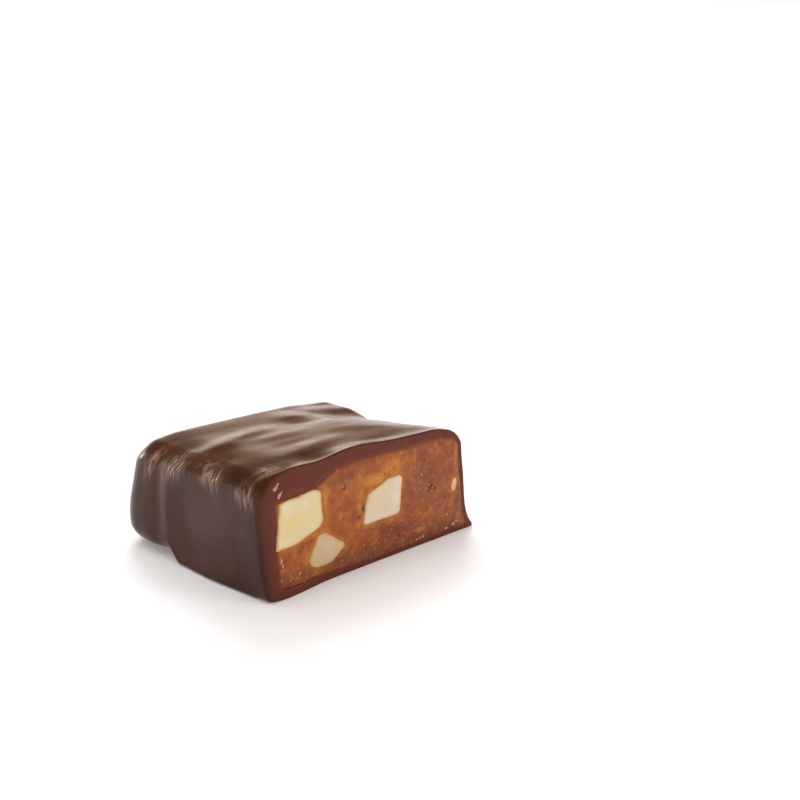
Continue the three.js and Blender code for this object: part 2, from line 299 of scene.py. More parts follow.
class Shader:
    """The node tree of one finish, with short calls for the nodes that a sweet needs."""

    def __init__(self, name: str) -> None:
        """Start a material with one Principled shader.

        Args:
            name: The material's name.
        """
        self.material = bpy.data.materials.new(name)
        self.material.use_nodes = True
        self.tree = self.material.node_tree
        self.surface = self.tree.nodes["Principled BSDF"]
        self.place = self.add("ShaderNodeTexCoord").outputs["Object"]

    def add(self, kind: str, **settings: object) -> bpy.types.Node:
        """Add a node and set its properties.

        Args:
            kind: The node's type.
            settings: Its properties by name.

        Returns:
            The new node.
        """
        node = self.tree.nodes.new(kind)
        for key, value in settings.items():
            setattr(node, key, value)
        return node

    def feed(self, socket: Socket, value: Socket | Colour | float) -> None:
        """Link a socket to an output, or set it to a constant.

        Args:
            socket: The input to fill.
            value: Another node's output, or a constant.
        """
        if isinstance(value, Socket):
            self.tree.links.new(value, socket)
        elif isinstance(value, tuple) and len(value) == 3 and socket.type == "RGBA":
            socket.default_value = (*value, 1.0)
        else:
            socket.default_value = value

    def set(self, **inputs: Socket | Colour | float) -> None:
        """Set or link the surface's own sockets, with _ for a blank in a name."""
        for name, value in inputs.items():
            self.feed(self.surface.inputs[name.replace("_", " ")], value)

    def mark(self, name: str) -> Socket:
        """Read a value that the mesh carries."""
        return self.add("ShaderNodeAttribute", attribute_name=name).outputs["Fac"]

    def noise(self, size: float, detail: float = 3.0, stretch: Colour = (1, 1, 1)) -> Socket:
        """Smooth noise in the piece's own space.

        Args:
            size: About how far apart its lumps are, in mm.
            detail: How many finer layers it has.
            stretch: How much longer the lumps are along each axis.

        Returns:
            A value of about 0 to 1.
        """
        mapping = self.add("ShaderNodeMapping")
        self.feed(mapping.inputs["Vector"], self.place)
        mapping.inputs["Scale"].default_value = tuple(1 / (size * MM * s) for s in stretch)
        node = self.add("ShaderNodeTexNoise")
        self.feed(node.inputs["Vector"], mapping.outputs["Vector"])
        node.inputs["Scale"].default_value = 1.0
        node.inputs["Detail"].default_value = detail
        return node.outputs["Fac"]

    def span(
        self, value: Socket, low: float, high: float, to_low: float = 0.0, to_high: float = 1.0
    ) -> Socket:
        """Map a value smoothly from one range to another, and hold it there.

        Args:
            value: The value.
            low: Start of its range.
            high: End of its range.
            to_low: What the start becomes.
            to_high: What the end becomes.

        Returns:
            The mapped value.
        """
        node = self.add("ShaderNodeMapRange", interpolation_type="SMOOTHSTEP")
        ends = {"Value": value, "From Min": low, "From Max": high, "To Min": to_low, "To Max": to_high}
        for name, what in ends.items():
            self.feed(node.inputs[name], what)
        return node.outputs["Result"]

    def join(self, a: Socket | float, b: Socket | float, step: MathStep = MathStep.ADD) -> Socket:
        """Add or multiply two values.

        Args:
            a: The first value.
            b: The second value.
            step: What is done with them.

        Returns:
            The result.
        """
        node = self.add("ShaderNodeMath", operation=step.value)
        self.feed(node.inputs[0], a)
        self.feed(node.inputs[1], b)
        return node.outputs[0]

    def blend(self, share: Socket | float, a: Socket | Colour, b: Socket | Colour) -> Socket:
        """Mix one colour into another.

        Args:
            share: How much of b there is, from 0 to 1.
            a: The colour at 0.
            b: The colour at 1.

        Returns:
            The mixed colour.
        """
        node = self.add("ShaderNodeMix", data_type="RGBA")
        self.feed(node.inputs["Factor"], share)
        self.feed(node.inputs[6], a)
        self.feed(node.inputs[7], b)
        return node.outputs[2]

    def bump(self, height: Socket, depth: float, under: Socket | None = None) -> Socket:
        """Turn a height from 0 to 1 into fine relief.

        Args:
            height: The height.
            depth: What a height of 1 stands for, in mm.
            under: Relief that this one lies on.

        Returns:
            The normal.
        """
        node = self.add("ShaderNodeBump")
        self.feed(node.inputs["Height"], height)
        node.inputs["Distance"].default_value = depth * MM
        node.inputs["Strength"].default_value = 1.0
        if under:
            self.feed(node.inputs["Normal"], under)
        return node.outputs["Normal"]


@dataclass(frozen=True)
class ChocolateFinish:
    """Glossy dark milk chocolate, redder where it was cut, and finely crinkled in places, with a painted
    highlight on the crinkles.
    """

    deep: Colour = srgb(57, 30, 19)
    light: Colour = srgb(76, 41, 26)
    bloom: Colour = srgb(86, 57, 41)
    cut: Colour = srgb(103, 43, 28)
    stained: Colour = srgb(118, 56, 28)
    # Pale pinkish brown of the painted highlight on the crinkles.
    painted_crinkle_highlight: Colour = srgb(172, 140, 122)
    gloss: tuple[float, float] = (0.2, 0.27)
    duller: float = 0.1

    def build(self) -> bpy.types.Material:
        """Make the material.

        Returns:
            The new material.
        """
        s = Shader("chocolate")
        skin = s.blend(s.span(s.noise(7.0, detail=4.0), 0.3, 0.7), self.deep, self.light)
        streak = s.span(s.noise(2.6, detail=2.0, stretch=(1, 1, 3)), 0.48, 0.8, 0.0, 0.4)
        skin = s.blend(streak, skin, self.bloom)
        comb = s.noise(0.56, detail=2.0, stretch=(1.4, 1, 4))
        crinkled = s.mark("crinkled")
        # Painted highlight: the crinkled patches are lightened along their ridges.
        painted_crinkle_highlight = s.join(s.span(comb, 0.4, 0.64, 0.2, 0.9), crinkled, MathStep.MULTIPLY)
        skin = s.blend(painted_crinkle_highlight, skin, self.painted_crinkle_highlight)
        near = s.join(s.mark("near_toffee"), s.span(s.noise(0.8), 0.3, 0.7, -0.12, 0.12))
        inner = s.blend(s.span(near, 0.6, 1.0), self.cut, self.stained)
        cut_face = s.mark("cut_face")
        duller = s.join(cut_face, self.duller, MathStep.MULTIPLY)
        rough = s.join(s.span(s.noise(2.2), 0.3, 0.7, *self.gloss), duller)
        s.set(
            Base_Color=s.blend(cut_face, skin, inner),
            Roughness=s.join(rough, s.join(crinkled, self.duller, MathStep.MULTIPLY)),
            Specular_IOR_Level=0.2,
            Subsurface_Weight=0.1,
            Subsurface_Scale=0.4 * MM,
            Subsurface_Radius=(1.0, 0.3, 0.15),
        )
        fine = s.bump(s.noise(0.2, detail=2.0), 0.004)
        waves = s.bump(s.noise(1.3, detail=3.0), 0.006, under=fine)
        s.set(Normal=s.bump(s.join(comb, crinkled, MathStep.MULTIPLY), 0.16, under=waves))
        return s.material


@dataclass(frozen=True)
class ToffeeFinish:
    """Soft amber toffee: golden in places and with a painted glow round the nuts, brown by the coat,
    with faint grain.
    """

    amber: Colour = srgb(175, 92, 28)
    russet: Colour = srgb(155, 71, 27)
    golden_and_painted_glow: Colour = srgb(212, 134, 30)
    brown: Colour = srgb(104, 54, 26)
    pale: Colour = srgb(208, 146, 80)
    dark: Colour = srgb(112, 52, 22)
    gloss: float = 0.26

    def build(self) -> bpy.types.Material:
        """Make the material.

        Returns:
            The new material.
        """
        s = Shader("toffee")
        tone = s.span(s.noise(3.0, detail=2.0), 0.36, 0.64)
        colour = s.blend(tone, self.russet, self.amber)
        colour = s.blend(s.span(s.noise(1.1, detail=2.0), 0.5, 0.74, 0.0, 0.25), colour, self.golden_and_painted_glow)
        # Painted glow: this mark turns the toffee golden round the nuts, standing in for light scattered
        # through it.
        colour = s.blend(s.mark("golden_and_painted_glow"), colour, self.golden_and_painted_glow)
        colour = s.blend(s.mark("browned"), colour, self.brown)
        # Partly a pale smear and partly a painted highlight: the streak at the left edge lightens the
        # toffee round a glint.
        colour = s.blend(s.mark("smeared_and_painted_highlight"), colour, self.pale)
        grain = s.noise(0.8, detail=2.0)
        colour = s.blend(s.span(grain, 0.5, 0.28, 0.0, 0.35), colour, self.dark)
        colour = s.blend(s.span(grain, 0.54, 0.76, 0.0, 0.35), colour, self.pale)
        s.set(
            Base_Color=colour,
            Roughness=s.span(s.noise(0.6), 0.3, 0.7, self.gloss, self.gloss + 0.22),
            Specular_IOR_Level=0.3,
            Subsurface_Weight=0.25,
            Subsurface_Scale=0.7 * MM,
            Subsurface_Radius=(1.0, 0.4, 0.1),
        )
        fine = s.bump(grain, 0.05)
        s.set(Normal=s.bump(s.noise(1.1, detail=2.0), 0.07, under=fine))
        return s.material


@dataclass(frozen=True)
class NutFinish:
    """Waxy nut flesh, with a yellower and a paler part, and amber where it meets the toffee; on a cut
    facet the paler part is a painted highlight.
    """

    name: str
    flesh: Colour
    yellow: Colour
    pale: Colour
    edge: Colour = srgb(220, 158, 74)

    def build(self) -> bpy.types.Material:
        """Make the material.

        Returns:
            The new material.
        """
        s = Shader(self.name)
        tone = s.span(s.noise(1.8, detail=3.0), 0.35, 0.65, 0.0, 0.35)
        colour = s.blend(s.mark("yellow"), self.flesh, self.yellow)
        colour = s.blend(s.mark("pale"), colour, self.pale)
        colour = s.blend(tone, colour, self.flesh)
        colour = s.blend(s.mark("edge"), colour, self.edge)
        s.set(
            Base_Color=colour,
            Roughness=s.span(s.noise(1.0), 0.3, 0.7, 0.38, 0.52),
            Specular_IOR_Level=0.35,
            Subsurface_Weight=0.3,
            Subsurface_Scale=0.5 * MM,
            Subsurface_Radius=(1.0, 0.75, 0.4),
        )
        fine = s.bump(s.noise(0.2, detail=2.0), 0.01)
        s.set(Normal=s.bump(s.noise(0.9, detail=2.0), 0.03, under=fine))
        return s.material


@dataclass(frozen=True)
class BeadFinish:
    """A small glossy thing of one colour: a crumb or a grain in its own colour, or a drop of syrup or
    chocolate whose pale colour is a painted highlight.
    """

    name: str
    tint: Colour
    deeper: Colour
    gloss: float = 0.3

    def build(self) -> bpy.types.Material:
        """Make the material.

        Returns:
            The new material.
        """
        s = Shader(self.name)
        s.set(
            Base_Color=s.blend(s.span(s.noise(0.6), 0.35, 0.65), self.tint, self.deeper),
            Roughness=s.span(s.noise(0.3), 0.3, 0.7, self.gloss, self.gloss + 0.1),
            Specular_IOR_Level=0.4,
            Subsurface_Weight=0.2,
            Subsurface_Scale=0.3 * MM,
            Subsurface_Radius=(1.0, 0.5, 0.2),
        )
        s.set(Normal=s.bump(s.noise(0.25), 0.02))
        return s.material


# ---------------------------------------------------------------------------------------------
# The form of the bar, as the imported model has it
# ---------------------------------------------------------------------------------------------

@dataclass(frozen=True)
class Swell:
    """A soft wave in the top: its place, spread along and across, turn in degrees, and rise."""

    x: float
    y: float
    along: float
    across: float
    turn: float
    rise: float

    def height(self, x: Array, y: Array) -> Array:
        """Give the wave's height.

        Args:
            x: Places across.
            y: Places along.

        Returns:
            The height over each place.
        """
        turn = math.radians(self.turn)
        along = (x - self.x) * math.cos(turn) + (y - self.y) * math.sin(turn)
        across = (y - self.y) * math.cos(turn) - (x - self.x) * math.sin(turn)
        return self.rise * bell(along, 0, self.along) * bell(across, 0, self.across)


@dataclass(frozen=True)
class RoundedSection:
    """A section across the bar: a box with four rounded corners and the steps along each stretch."""

    left: float
    right: float
    bottom: float
    top: float
    foot_left: float
    foot_right: float
    shoulder_left: float
    shoulder_right: float

    def ring(self, base: int, corner: int, side: int, top: int) -> Array:
        """Walk round the section: base, right side, top and left side.

        Args:
            base: Points along the base.
            corner: Points round each corner.
            side: Points up each side.
            top: Points along the top.

        Returns:
            The points as rows of x and z.
        """
        def edge(start: tuple[float, float], end: tuple[float, float], count: int) -> Array:
            """Give points along a straight stretch, with both its ends."""
            return mix(np.array(start), np.array(end), np.linspace(0, 1, count)[:, None])

        def arc(x: float, z: float, radius: float, start: float) -> Array:
            """Give points round a corner, without its ends."""
            angle = np.radians(start + 90 * (np.arange(corner) + 0.5) / corner)
            return np.stack([x + radius * np.cos(angle), z + radius * np.sin(angle)], axis=1)

        left, right, bottom, high = self.left, self.right, self.bottom, self.top
        fl, fr, sl, sr = self.foot_left, self.foot_right, self.shoulder_left, self.shoulder_right
        return np.concatenate([
            edge((left + fl, bottom), (right - fr, bottom), base),
            arc(right - fr, bottom + fr, fr, -90),
            edge((right, bottom + fr), (right, high - sr), side),
            arc(right - sr, high - sr, sr, 0),
            edge((right - sr, high), (left + sl, high), top),
            arc(left + sl, high - sl, sl, 90),
            edge((left, high - sl), (left, bottom + fl), side),
            arc(left + fl, bottom + fl, fl, 180),
        ])


@dataclass(frozen=True)
class TopLine:
    """The top's line across the bar: its height, fall to the right, and further fall at the corner."""

    middle: float
    fall: float
    corner_fall: float


@dataclass(frozen=True)
class Hump:
    """A rise in the top's line at the cut, or a dip where its rise is below 0."""

    x: float
    spread: float
    rise: float


@dataclass(frozen=True)
class BarForm:
    """The bar's form: driving sizes of the bar, and how a plain bar's points move onto it."""

    half_length: float = 25.2
    width: float = 31.2
    height: float = 14.0
    side_shift: float = -0.3
    plan_radius: float = 3.2
    end_top_radius: float = 3.4
    end_foot_radius: float = 1.4
    shoulder_left: float = 2.5
    shoulder_right: float = 2.3
    foot_left: float = 0.5
    foot_left_cut: float = 1.0
    foot_right: float = 0.7
    undercut_start: float = 2.2
    undercut_full: float = 4.7
    undercut_end: float = 8.2
    undercut_radius: float = 1.9
    undercut_lift: float = 0.85
    undercut_stays: float = 0.35
    scallop_first: float = 3.5
    scallop_pitch: float = 7.5
    scallop_depth: float = 0.2
    shoulder_drop: float = 0.12
    shoulder_camber: float = 0.3
    camber_at_cut: float = 0.5
    side_dent: float = 0.3
    side_dent_y: float = 6.1
    left_lean: float = 0.55
    left_foot: float = 0.25
    left_base_bulge: float = 0.6
    left_end_bulge: float = 1.05
    right_slope: float = 0.75
    right_drawn_in: float = 0.3
    right_waist: float = 0.5
    thin_foot: float = 1.5
    thin_foot_height: float = 1.1
    end_bulge: float = 0.9
    cut_top: TopLine = TopLine(14.57, 0.05, 0.7)
    end_top: TopLine = TopLine(12.55, 0.052, 0.5)
    cut_humps: tuple[Hump, ...] = (Hump(-1.5, 3.6, 0.42), Hump(-7.4, 2.2, -0.22))
    core_level: float = 0.45
    cut_fade: float = 0.8
    corner_from: float = 10.5
    swells: tuple[Swell, ...] = (
        Swell(-1, -13.4, 14, 1.3, 0, 0.4),
        Swell(3, -10.4, 9, 1.2, -4, -0.12),
        Swell(-3.5, -7.3, 5, 1.3, 8, 0.12),
        Swell(9, -1.4, 5.5, 4.2, -8, 0.52),
        Swell(4.5, -4.6, 3.6, 1.6, -14, 0.1),
        Swell(-3.4, -1, 4, 1.3, -4, 0.12),
        Swell(-10.5, 0.6, 3, 1.5, 16, 0.26),
        Swell(-6.2, 2.4, 4.2, 1.4, 8, 0.22),
        Swell(2, 2.2, 3.2, 2.2, -20, -0.12),
        Swell(6.4, 6.6, 3.8, 1.7, 0, 0.16),
        Swell(9.4, 4, 2, 2.8, 10, -0.2),
        Swell(-5, 8.2, 8, 1.7, -4, 0.06),
        Swell(13.6, 5.4, 2, 1.5, 0, 0.2),
        Swell(14.6, 1.4, 2.4, 1.6, 0, -0.5),
        Swell(11, 9.4, 3.2, 1.5, 0, -0.34),
    )

    @property
    def left(self) -> float:
        """Left side of the plain bar."""
        return self.side_shift - self.width / 2

    @property
    def right(self) -> float:
        """Right side of the plain bar."""
        return self.side_shift + self.width / 2

    @property
    def cut_y(self) -> float:
        """The cut's plane."""
        return -self.half_length / 2

    @property
    def end_y(self) -> float:
        """The uncut end."""
        return self.half_length / 2

    @property
    def core(self) -> Array:
        """The x and z that the rings of the far ends close in on."""
        return np.array([self.side_shift, self.height * self.core_level])

    def top_height(self, x: Array, y: Array) -> Array:
        """Give the top's height over the table: high at the cut, lower at the end and on the right.

        Args:
            x: Places across.
            y: Places along.

        Returns:
            The height over each place.
        """
        along = (y - self.cut_y) / self.half_length
        lip = 1 - self.cut_fade * ease(0.4, 4.5, y - self.cut_y)
        cut, end = self.cut_top, self.end_top
        humps = lip * sum(hump.rise * bell(x, hump.x, hump.spread) for hump in self.cut_humps)
        at_cut = cut.middle - cut.fall * x + humps
        at_cut = at_cut - cut.corner_fall * ease(self.corner_from, self.right, x)
        at_end = end.middle - end.fall * x - end.corner_fall * ease(self.corner_from - 3, self.right, x)
        falls_by = 1 - 0.5 * ease(2, 13, x)
        waves = sum(swell.height(x, y) for swell in self.swells)
        return mix(at_cut, at_end, ease(0, falls_by, along)) + waves

    def shape(self, x: Array, y: Array, z: Array) -> Array:
        """Move points of the plain rounded bar onto the given one.

        Args:
            x: Places across.
            y: Places along.
            z: Heights.

        Returns:
            The moved points, with x, y and z last.
        """
        x, y, z = np.broadcast_arrays(*(np.asarray(v, float) for v in (x, y, z)))
        level = np.clip(z / self.height, 0, 1)
        along = (y - self.cut_y) / self.half_length
        left = ease(0.3, 1, -x / (self.width / 2))
        right = ease(0.3, 1, x / (self.width / 2))
        corner = ease(0.55, 0.95, along)
        scallop = (0.5 + 0.5 * np.cos(2 * np.pi * (y - self.scallop_first) / self.scallop_pitch)) ** 2

        dx = -left * self.left_lean * ease(0.05, 0.85, level) * (1 - corner)
        dx = dx + left * self.left_foot * (1 - level) * (1 - ease(0, 0.3, along))
        dx = dx - left * self.left_base_bulge * bell(y, -1.5, 6) * bell(z, 0, 2.5)
        dx = dx - left * self.left_end_bulge * ease(0.5, 0.8, along) * bell(z, 3.6, 6.5)
        dx = dx + left * self.side_dent * bell(y, self.side_dent_y, 1.4) * ease(0.02, 0.25, level)
        dx = dx + left * self.scallop_depth * scallop * bell(level, 0.93, 0.14)
        slope = self.right_slope * (1 - level) * (1 - 0.5 * along)
        dx = dx + right * (slope - self.right_drawn_in * level)
        foot = self.thin_foot * np.exp(-z / self.thin_foot_height)
        dx = dx + right * foot * (1 - ease(0, 0.25, along))
        dx = dx - right * self.right_waist * bell(y, 2.5, 5.5)

        dy = self.end_bulge * ease(0.75, 1, along) * bell(z, 3.2, 5)
        dz = ease(0.3, 1, level) * (self.top_height(x, y) - self.height)
        shoulder = ease(0.62, 1, -x / (self.width / 2))
        dz = dz - (self.scallop_depth * scallop + self.shoulder_drop) * shoulder * bell(level, 0.95, 0.1)
        camber = mix(self.camber_at_cut, self.shoulder_camber, ease(0.3, 0.7, along))
        dz = dz - camber * ease(7, 15.6, -x) ** 2 * ease(0.7, 1, level)
        falls = (1 - self.undercut_stays) * ease(self.undercut_full, self.undercut_end, y)
        stepped = ease(self.undercut_start, self.undercut_full, y) * (1 - falls)
        dz = dz + self.undercut_lift * stepped * ease(7, 14.5, -x) * (1 - ease(0, 0.35, level))
        return np.stack([x + dx, y + dy, z + dz], axis=-1)

    def outside_section(self, y: float, rounding: float) -> RoundedSection:
        """Give the coat's outside section of the plain bar.

        Args:
            y: Where along the bar it lies.
            rounding: How far it is drawn in for the end's rounding, as a share of the whole.

        Returns:
            The section.
        """
        foot_left = mix(self.foot_left_cut, self.foot_left, float(ease(0, 2.5, y - self.cut_y)))
        foot_left += self.undercut_radius * float(ease(self.undercut_start, self.undercut_full, y))
        return RoundedSection(
            left=self.left + self.plan_radius * rounding,
            right=self.right - self.plan_radius * rounding,
            bottom=self.end_foot_radius * rounding,
            top=self.height - self.end_top_radius * rounding,
            foot_left=foot_left,
            foot_right=self.foot_right,
            shoulder_left=self.shoulder_left,
            shoulder_right=self.shoulder_right,
        )


@dataclass(frozen=True)
class Hollow:
    """The space in the coat that the toffee fills: the coat's thickness all round."""

    form: BarForm
    coat_left: float = 2.45
    coat_right: float = 1.0
    coat_bottom: float = 1.05
    coat_end: float = 1.7
    top_left: float = 2.1
    top_right: float = 1.1
    pooled: float = 1.3
    foot: float = 0.6
    shoulder_left: float = 0.5
    shoulder_right: float = 1.2
    plan_radius: float = 2.2
    lean: float = 0.4
    base_thins: float = 0.42
    side_thins: float = 0.3

    @property
    def end_y(self) -> float:
        """Where the toffee ends, short of the uncut end."""
        return self.form.end_y - self.coat_end

    def coat_top(self, x: Array) -> Array:
        """Thickness of the coat on top: pooled over the left corner, thin at the right."""
        sideways = ease(self.form.left, self.form.right, x)
        return mix(self.top_left, self.top_right, sideways) + self.pooled * ease(5, 9, -x)

    def section(self, rounding: float, grow: float, steps: dict[str, int]) -> Array:
        """Give the plain bar's ring of the hollow, drawn in at its end and moved out by grow.

        Args:
            rounding: Share of the far end's rounding.
            grow: How far to move it out into the coat, in mm.
            steps: Points along each stretch.

        Returns:
            Points as rows of x and z.
        """
        form = self.form
        inward = self.plan_radius * rounding
        ring = RoundedSection(
            left=form.left + self.coat_left - grow + inward,
            right=form.right - self.coat_right + grow - inward,
            bottom=self.coat_bottom - grow + inward / 2,
            top=form.height + grow - inward / 2,
            foot_left=self.foot,
            foot_right=self.foot,
            shoulder_left=self.shoulder_left,
            shoulder_right=self.shoulder_right,
        ).ring(**steps)
        half = form.height / 2
        sink = self.coat_top(ring[:, 0]) * np.clip((ring[:, 1] - half) / half, 0, 1)
        lean = self.lean * (1 - ease(1, 9, ring[:, 1])) * ease(8, 13, -ring[:, 0])
        lean = lean - self.side_thins * ease(10, 14, ring[:, 0])
        sag = self.base_thins * ease(-8, 2, ring[:, 0]) * (1 - ease(0.5, 5, ring[:, 1]))
        return np.stack([ring[:, 0] - lean, ring[:, 1] - sink - sag], axis=1)


# ---------------------------------------------------------------------------------------------
# The chocolate coat
# ---------------------------------------------------------------------------------------------

@dataclass(frozen=True)
class Crinkle:
    """A patch of fine ridges where the setting chocolate wrinkled."""

    x: float
    y: float
    z: float
    wide: float
    tall: float
    lean: float

    def share(self, points: Array) -> Array:
        """Say how strongly the patch crinkles each point.

        Args:
            points: Points in mm, with x, y and z last.

        Returns:
            Shares from 0 to 1.
        """
        y = points[..., 1] - self.y + self.lean * (points[..., 2] - self.z)
        flat = bell(y, 0, self.wide) * bell(points[..., 2], self.z, self.tall)
        return flat * bell(points[..., 0], self.x, 1.8)


@dataclass
class ChocolateCoat:
    """The coat: a shell round the toffee, open at the cut, with a rounded rim and a waved top."""

    form: BarForm
    hollow: Hollow
    steps: dict[str, int] = field(
        default_factory=lambda: {"base": 40, "corner": 22, "side": 64, "top": 150}
    )
    length_steps: int = 150
    round_steps: int = 22
    cap_steps: int = 16
    rim_steps: int = 12
    rim_round_steps: int = 10
    rim_skin: float = 0.4
    wall_steps: int = 8
    rim_round_top: float = 0.2
    rim_round_left: float = 0.7
    rim_round_corner: float = 0.7
    rim_round_right: float = 0.25
    rim_round_base: float = 0.14
    foot_push: float = 0.65
    end_dimple: float = 0.35
    side_ridges: tuple[tuple[float, float], ...] = ((4.2, 0.05), (6.8, 0.03))
    ridge_pitch: float = 0.66
    ridge_depth: float = 0.07
    crinkles: tuple[Crinkle, ...] = (
        Crinkle(-16.4, -10.2, 12.4, 1.5, 1.1, 0.0),
        Crinkle(-16.2, -3.4, 13.0, 1.7, 1.3, -0.3),
        Crinkle(-16.0, 3.0, 12.0, 1.6, 1.5, 0.5),
        Crinkle(-15.4, 7.4, 11.2, 0.7, 1.6, 0.4),
        Crinkle(-13.4, -10.6, 14.9, 1.0, 0.5, 0.0),
    )
    top_wave: float = 0.006
    side_wave: float = 0.04
    side_flute: float = 0.04
    side_grain: float = 0.006
    ripples: tuple[Swell, ...] = (
        Swell(4.0, 5.2, 2.4, 1.3, -6.0, 0.14),
        Swell(3.2, 2.0, 2.6, 1.1, -10.0, -0.09),
        Swell(-5.4, -8.6, 3.0, 1.1, 6.0, 0.06),
        Swell(-4.6, -5.0, 3.0, 1.0, 4.0, -0.06),
        Swell(8.5, -6.6, 3.0, 1.2, -10.0, 0.08),
        Swell(7.5, -9.4, 3.0, 1.0, -6.0, -0.06),
    )

    def place(self, y: float, section: Array) -> Array:
        """Set a plain section at y and shape it."""
        return self.form.shape(section[:, 0], y, section[:, 1])

    def rim_round(self, ring: Array) -> Array:
        """Give the radius of the rim's outer edge: soft on the left, crisp along the top and base.

        Args:
            ring: The outside's ring at the cut.

        Returns:
            The radius at each of its points.
        """
        level = ring[:, 2] / self.form.height
        leftward = ease(13.0, 15.4, -ring[:, 0])
        side = mix(self.rim_round_right, self.rim_round_left, leftward)
        radius = mix(mix(self.rim_round_base, side, leftward), side, ease(0.02, 0.2, level))
        radius = mix(radius, self.rim_round_top, ease(0.84, 1.0, level) * (1 - leftward))
        shoulder = bell(ring[:, 2], 13.4, 1.6) * ease(12.0, 14.6, -ring[:, 0])
        return radius + self.rim_round_corner * shoulder

    def push(self, points: Array) -> Array:
        """Return how far the knife pushed the rim forward at each point: at its lower left alone."""
        return self.foot_push * ease(5.0, 13.5, -points[..., 0]) * (1 - ease(0.0, 5.0, points[..., 2]))

    def rim_stand(self, flat: Array) -> Array:
        """Return how far the rim stands towards the viewer at each x and z."""
        return self.push(np.stack([flat[:, 0], flat[:, 0], flat[:, 1]], axis=1))

    def outside(self) -> list[Array]:
        """Run the outside from just behind the rim to the middle of the uncut end.

        Returns:
            Its rings.
        """
        form = self.form
        rings = []
        round_y = form.end_y - form.plan_radius
        first = self.place(form.cut_y, form.outside_section(form.cut_y, 0).ring(**self.steps))
        set_back = self.rim_round(first)
        for y in self.ring_places(form.cut_y, round_y):
            ring = self.place(y, form.outside_section(y, 0).ring(**self.steps))
            ring[:, 1] += (set_back - self.push(ring)) * (1 - ease(form.cut_y, form.cut_y + 2.6, y))
            rings.append(ring)
        for step in range(1, self.round_steps + 1):
            angle = math.pi / 2 * step / self.round_steps
            section = form.outside_section(form.end_y, 1 - math.cos(angle)).ring(**self.steps)
            rings.append(self.place(round_y + form.plan_radius * math.sin(angle), section))
        face = form.outside_section(form.end_y, 1).ring(**self.steps)
        for step in range(1, self.cap_steps + 1):
            shrink = 1 - step / (self.cap_steps + 0.6)
            ring = self.place(form.end_y, mix(form.core, face, shrink))
            ring[:, 1] -= self.end_dimple * (1 - shrink ** 2) ** 2
            rings.append(ring)
        return rings

    def ring_places(self, start: float, end: float) -> Array:
        """Place the rings of the straight stretch, closer together over the crinkles.

        Args:
            start: Where the first ring stands.
            end: Where the last ring stands.

        Returns:
            The places along the bar.
        """
        fine = np.linspace(start, end, 600)
        density = 1 + 1.6 * sum(bell(fine, c.y, 1.3 * c.wide) for c in self.crinkles)
        travelled = np.cumsum(density) - density[0]
        return np.interp(np.linspace(0, travelled[-1], self.length_steps), travelled, fine)

    def relief(self, rings: list[Array]) -> list[Array]:
        """Work ripples, fine waves, flutes and crinkles into the outside, along its normals.

        Args:
            rings: The outside's rings.

        Returns:
            The rings with the relief in them.
        """
        grid = np.stack(rings)
        around = np.roll(grid, -1, 1) - np.roll(grid, 1, 1)
        along = np.gradient(grid, axis=0)
        normal = np.cross(along, around)
        normal /= np.maximum(np.linalg.norm(normal, axis=-1, keepdims=True), 1e-9)
        y, z = grid[..., 1], grid[..., 2]
        upward = np.clip(normal[..., 2], 0, 1)
        sideways = 1 - np.abs(normal[..., 2])

        height = self.top_wave * upward * lumps(grid * [0.6, 1.2, 1.0], 1.6, 3.1)
        for ripple in self.ripples:
            height = height + upward * ripple.height(grid[..., 0], y)
        height = height + self.side_wave * sideways * lumps(grid, 4.2, 9.7)
        height = height + self.side_flute * sideways * lumps(grid * [1.0, 1.0, 0.2], 2.2, 5.3)
        height = height + self.side_grain * sideways * lumps(grid, 0.8, 1.9)
        leftward = np.clip(-normal[..., 0], 0, 1) * bell(z, 6.5, 3.4)
        for middle, rise in self.side_ridges:
            height = height + rise * leftward * bell(y, middle, 0.7)
        warp = 0.35 * lumps(grid * [1.0, 1.0, 0.5], 0.9, 6.7)
        uneven = 0.6 + 0.8 * lumps(grid, 0.6, 2.3)
        for c in self.crinkles:
            wave = np.sin(2 * np.pi * (y + c.lean * (z - c.z) + warp) / self.ridge_pitch)
            height = height + self.ridge_depth * c.share(grid) * uneven * wave
        height = height * ease(0.0, 0.6, z)
        return list(grid + normal * height[..., None])

    def rim(self, inner: Array, outer: Array) -> tuple[list[Array], list[float], list[Array]]:
        """Return the cut rim's rings from the toffee out to the rounded edge.

        Args:
            inner: The hollow's ring at the cut.
            outer: The outside's first ring, already set back by the rim's rounding.

        Returns:
            The rings, how near the toffee each is from 1 to 0, and how freshly cut their points are.
        """
        cut_y = self.form.cut_y
        radius = self.rim_round(outer)[:, None]
        flat_inner, flat_outer = inner[:, [0, 2]], outer[:, [0, 2]]
        inward = flat_outer - flat_inner
        inward /= -np.linalg.norm(inward, axis=1, keepdims=True)
        skin_share = self.rim_skin * ease(12.0, 14.5, -outer[:, 0])
        rings, near, red = [], [], []

        def add(flat: Array, back: Array | float, waved: float) -> None:
            """Add a ring of the rim.

            Args:
                flat: Its points as rows of x and z.
                back: How far it is set back from the cut's plane.
                waved: How much of the rim's waviness it has.
            """
            plane = np.stack([flat[:, 0], np.full(len(flat), cut_y), flat[:, 1]], axis=1)
            plane[:, 1] += back + 0.06 * waved * lumps(plane, 2.2, 4.4) - self.push(plane)
            rings.append(plane)

        for share in np.linspace(0, 1, self.rim_steps, endpoint=False):
            add(mix(flat_inner, flat_outer + inward * radius, share), 0.0, float(ease(0, 0.25, share)))
            near.append(1 - share)
            red.append(1 - skin_share * ease(0.4, 1, share))
        for angle in np.linspace(0, math.pi / 2, self.rim_round_steps, endpoint=False):
            shrink = radius * (1 - math.sin(angle))
            add(flat_outer + inward * shrink, radius[:, 0] * (1 - math.cos(angle)), math.cos(angle))
            near.append(0.0)
            red.append((1 - skin_share) * (1 - ease(0.1, 1.3, angle)))
        return rings, near, red

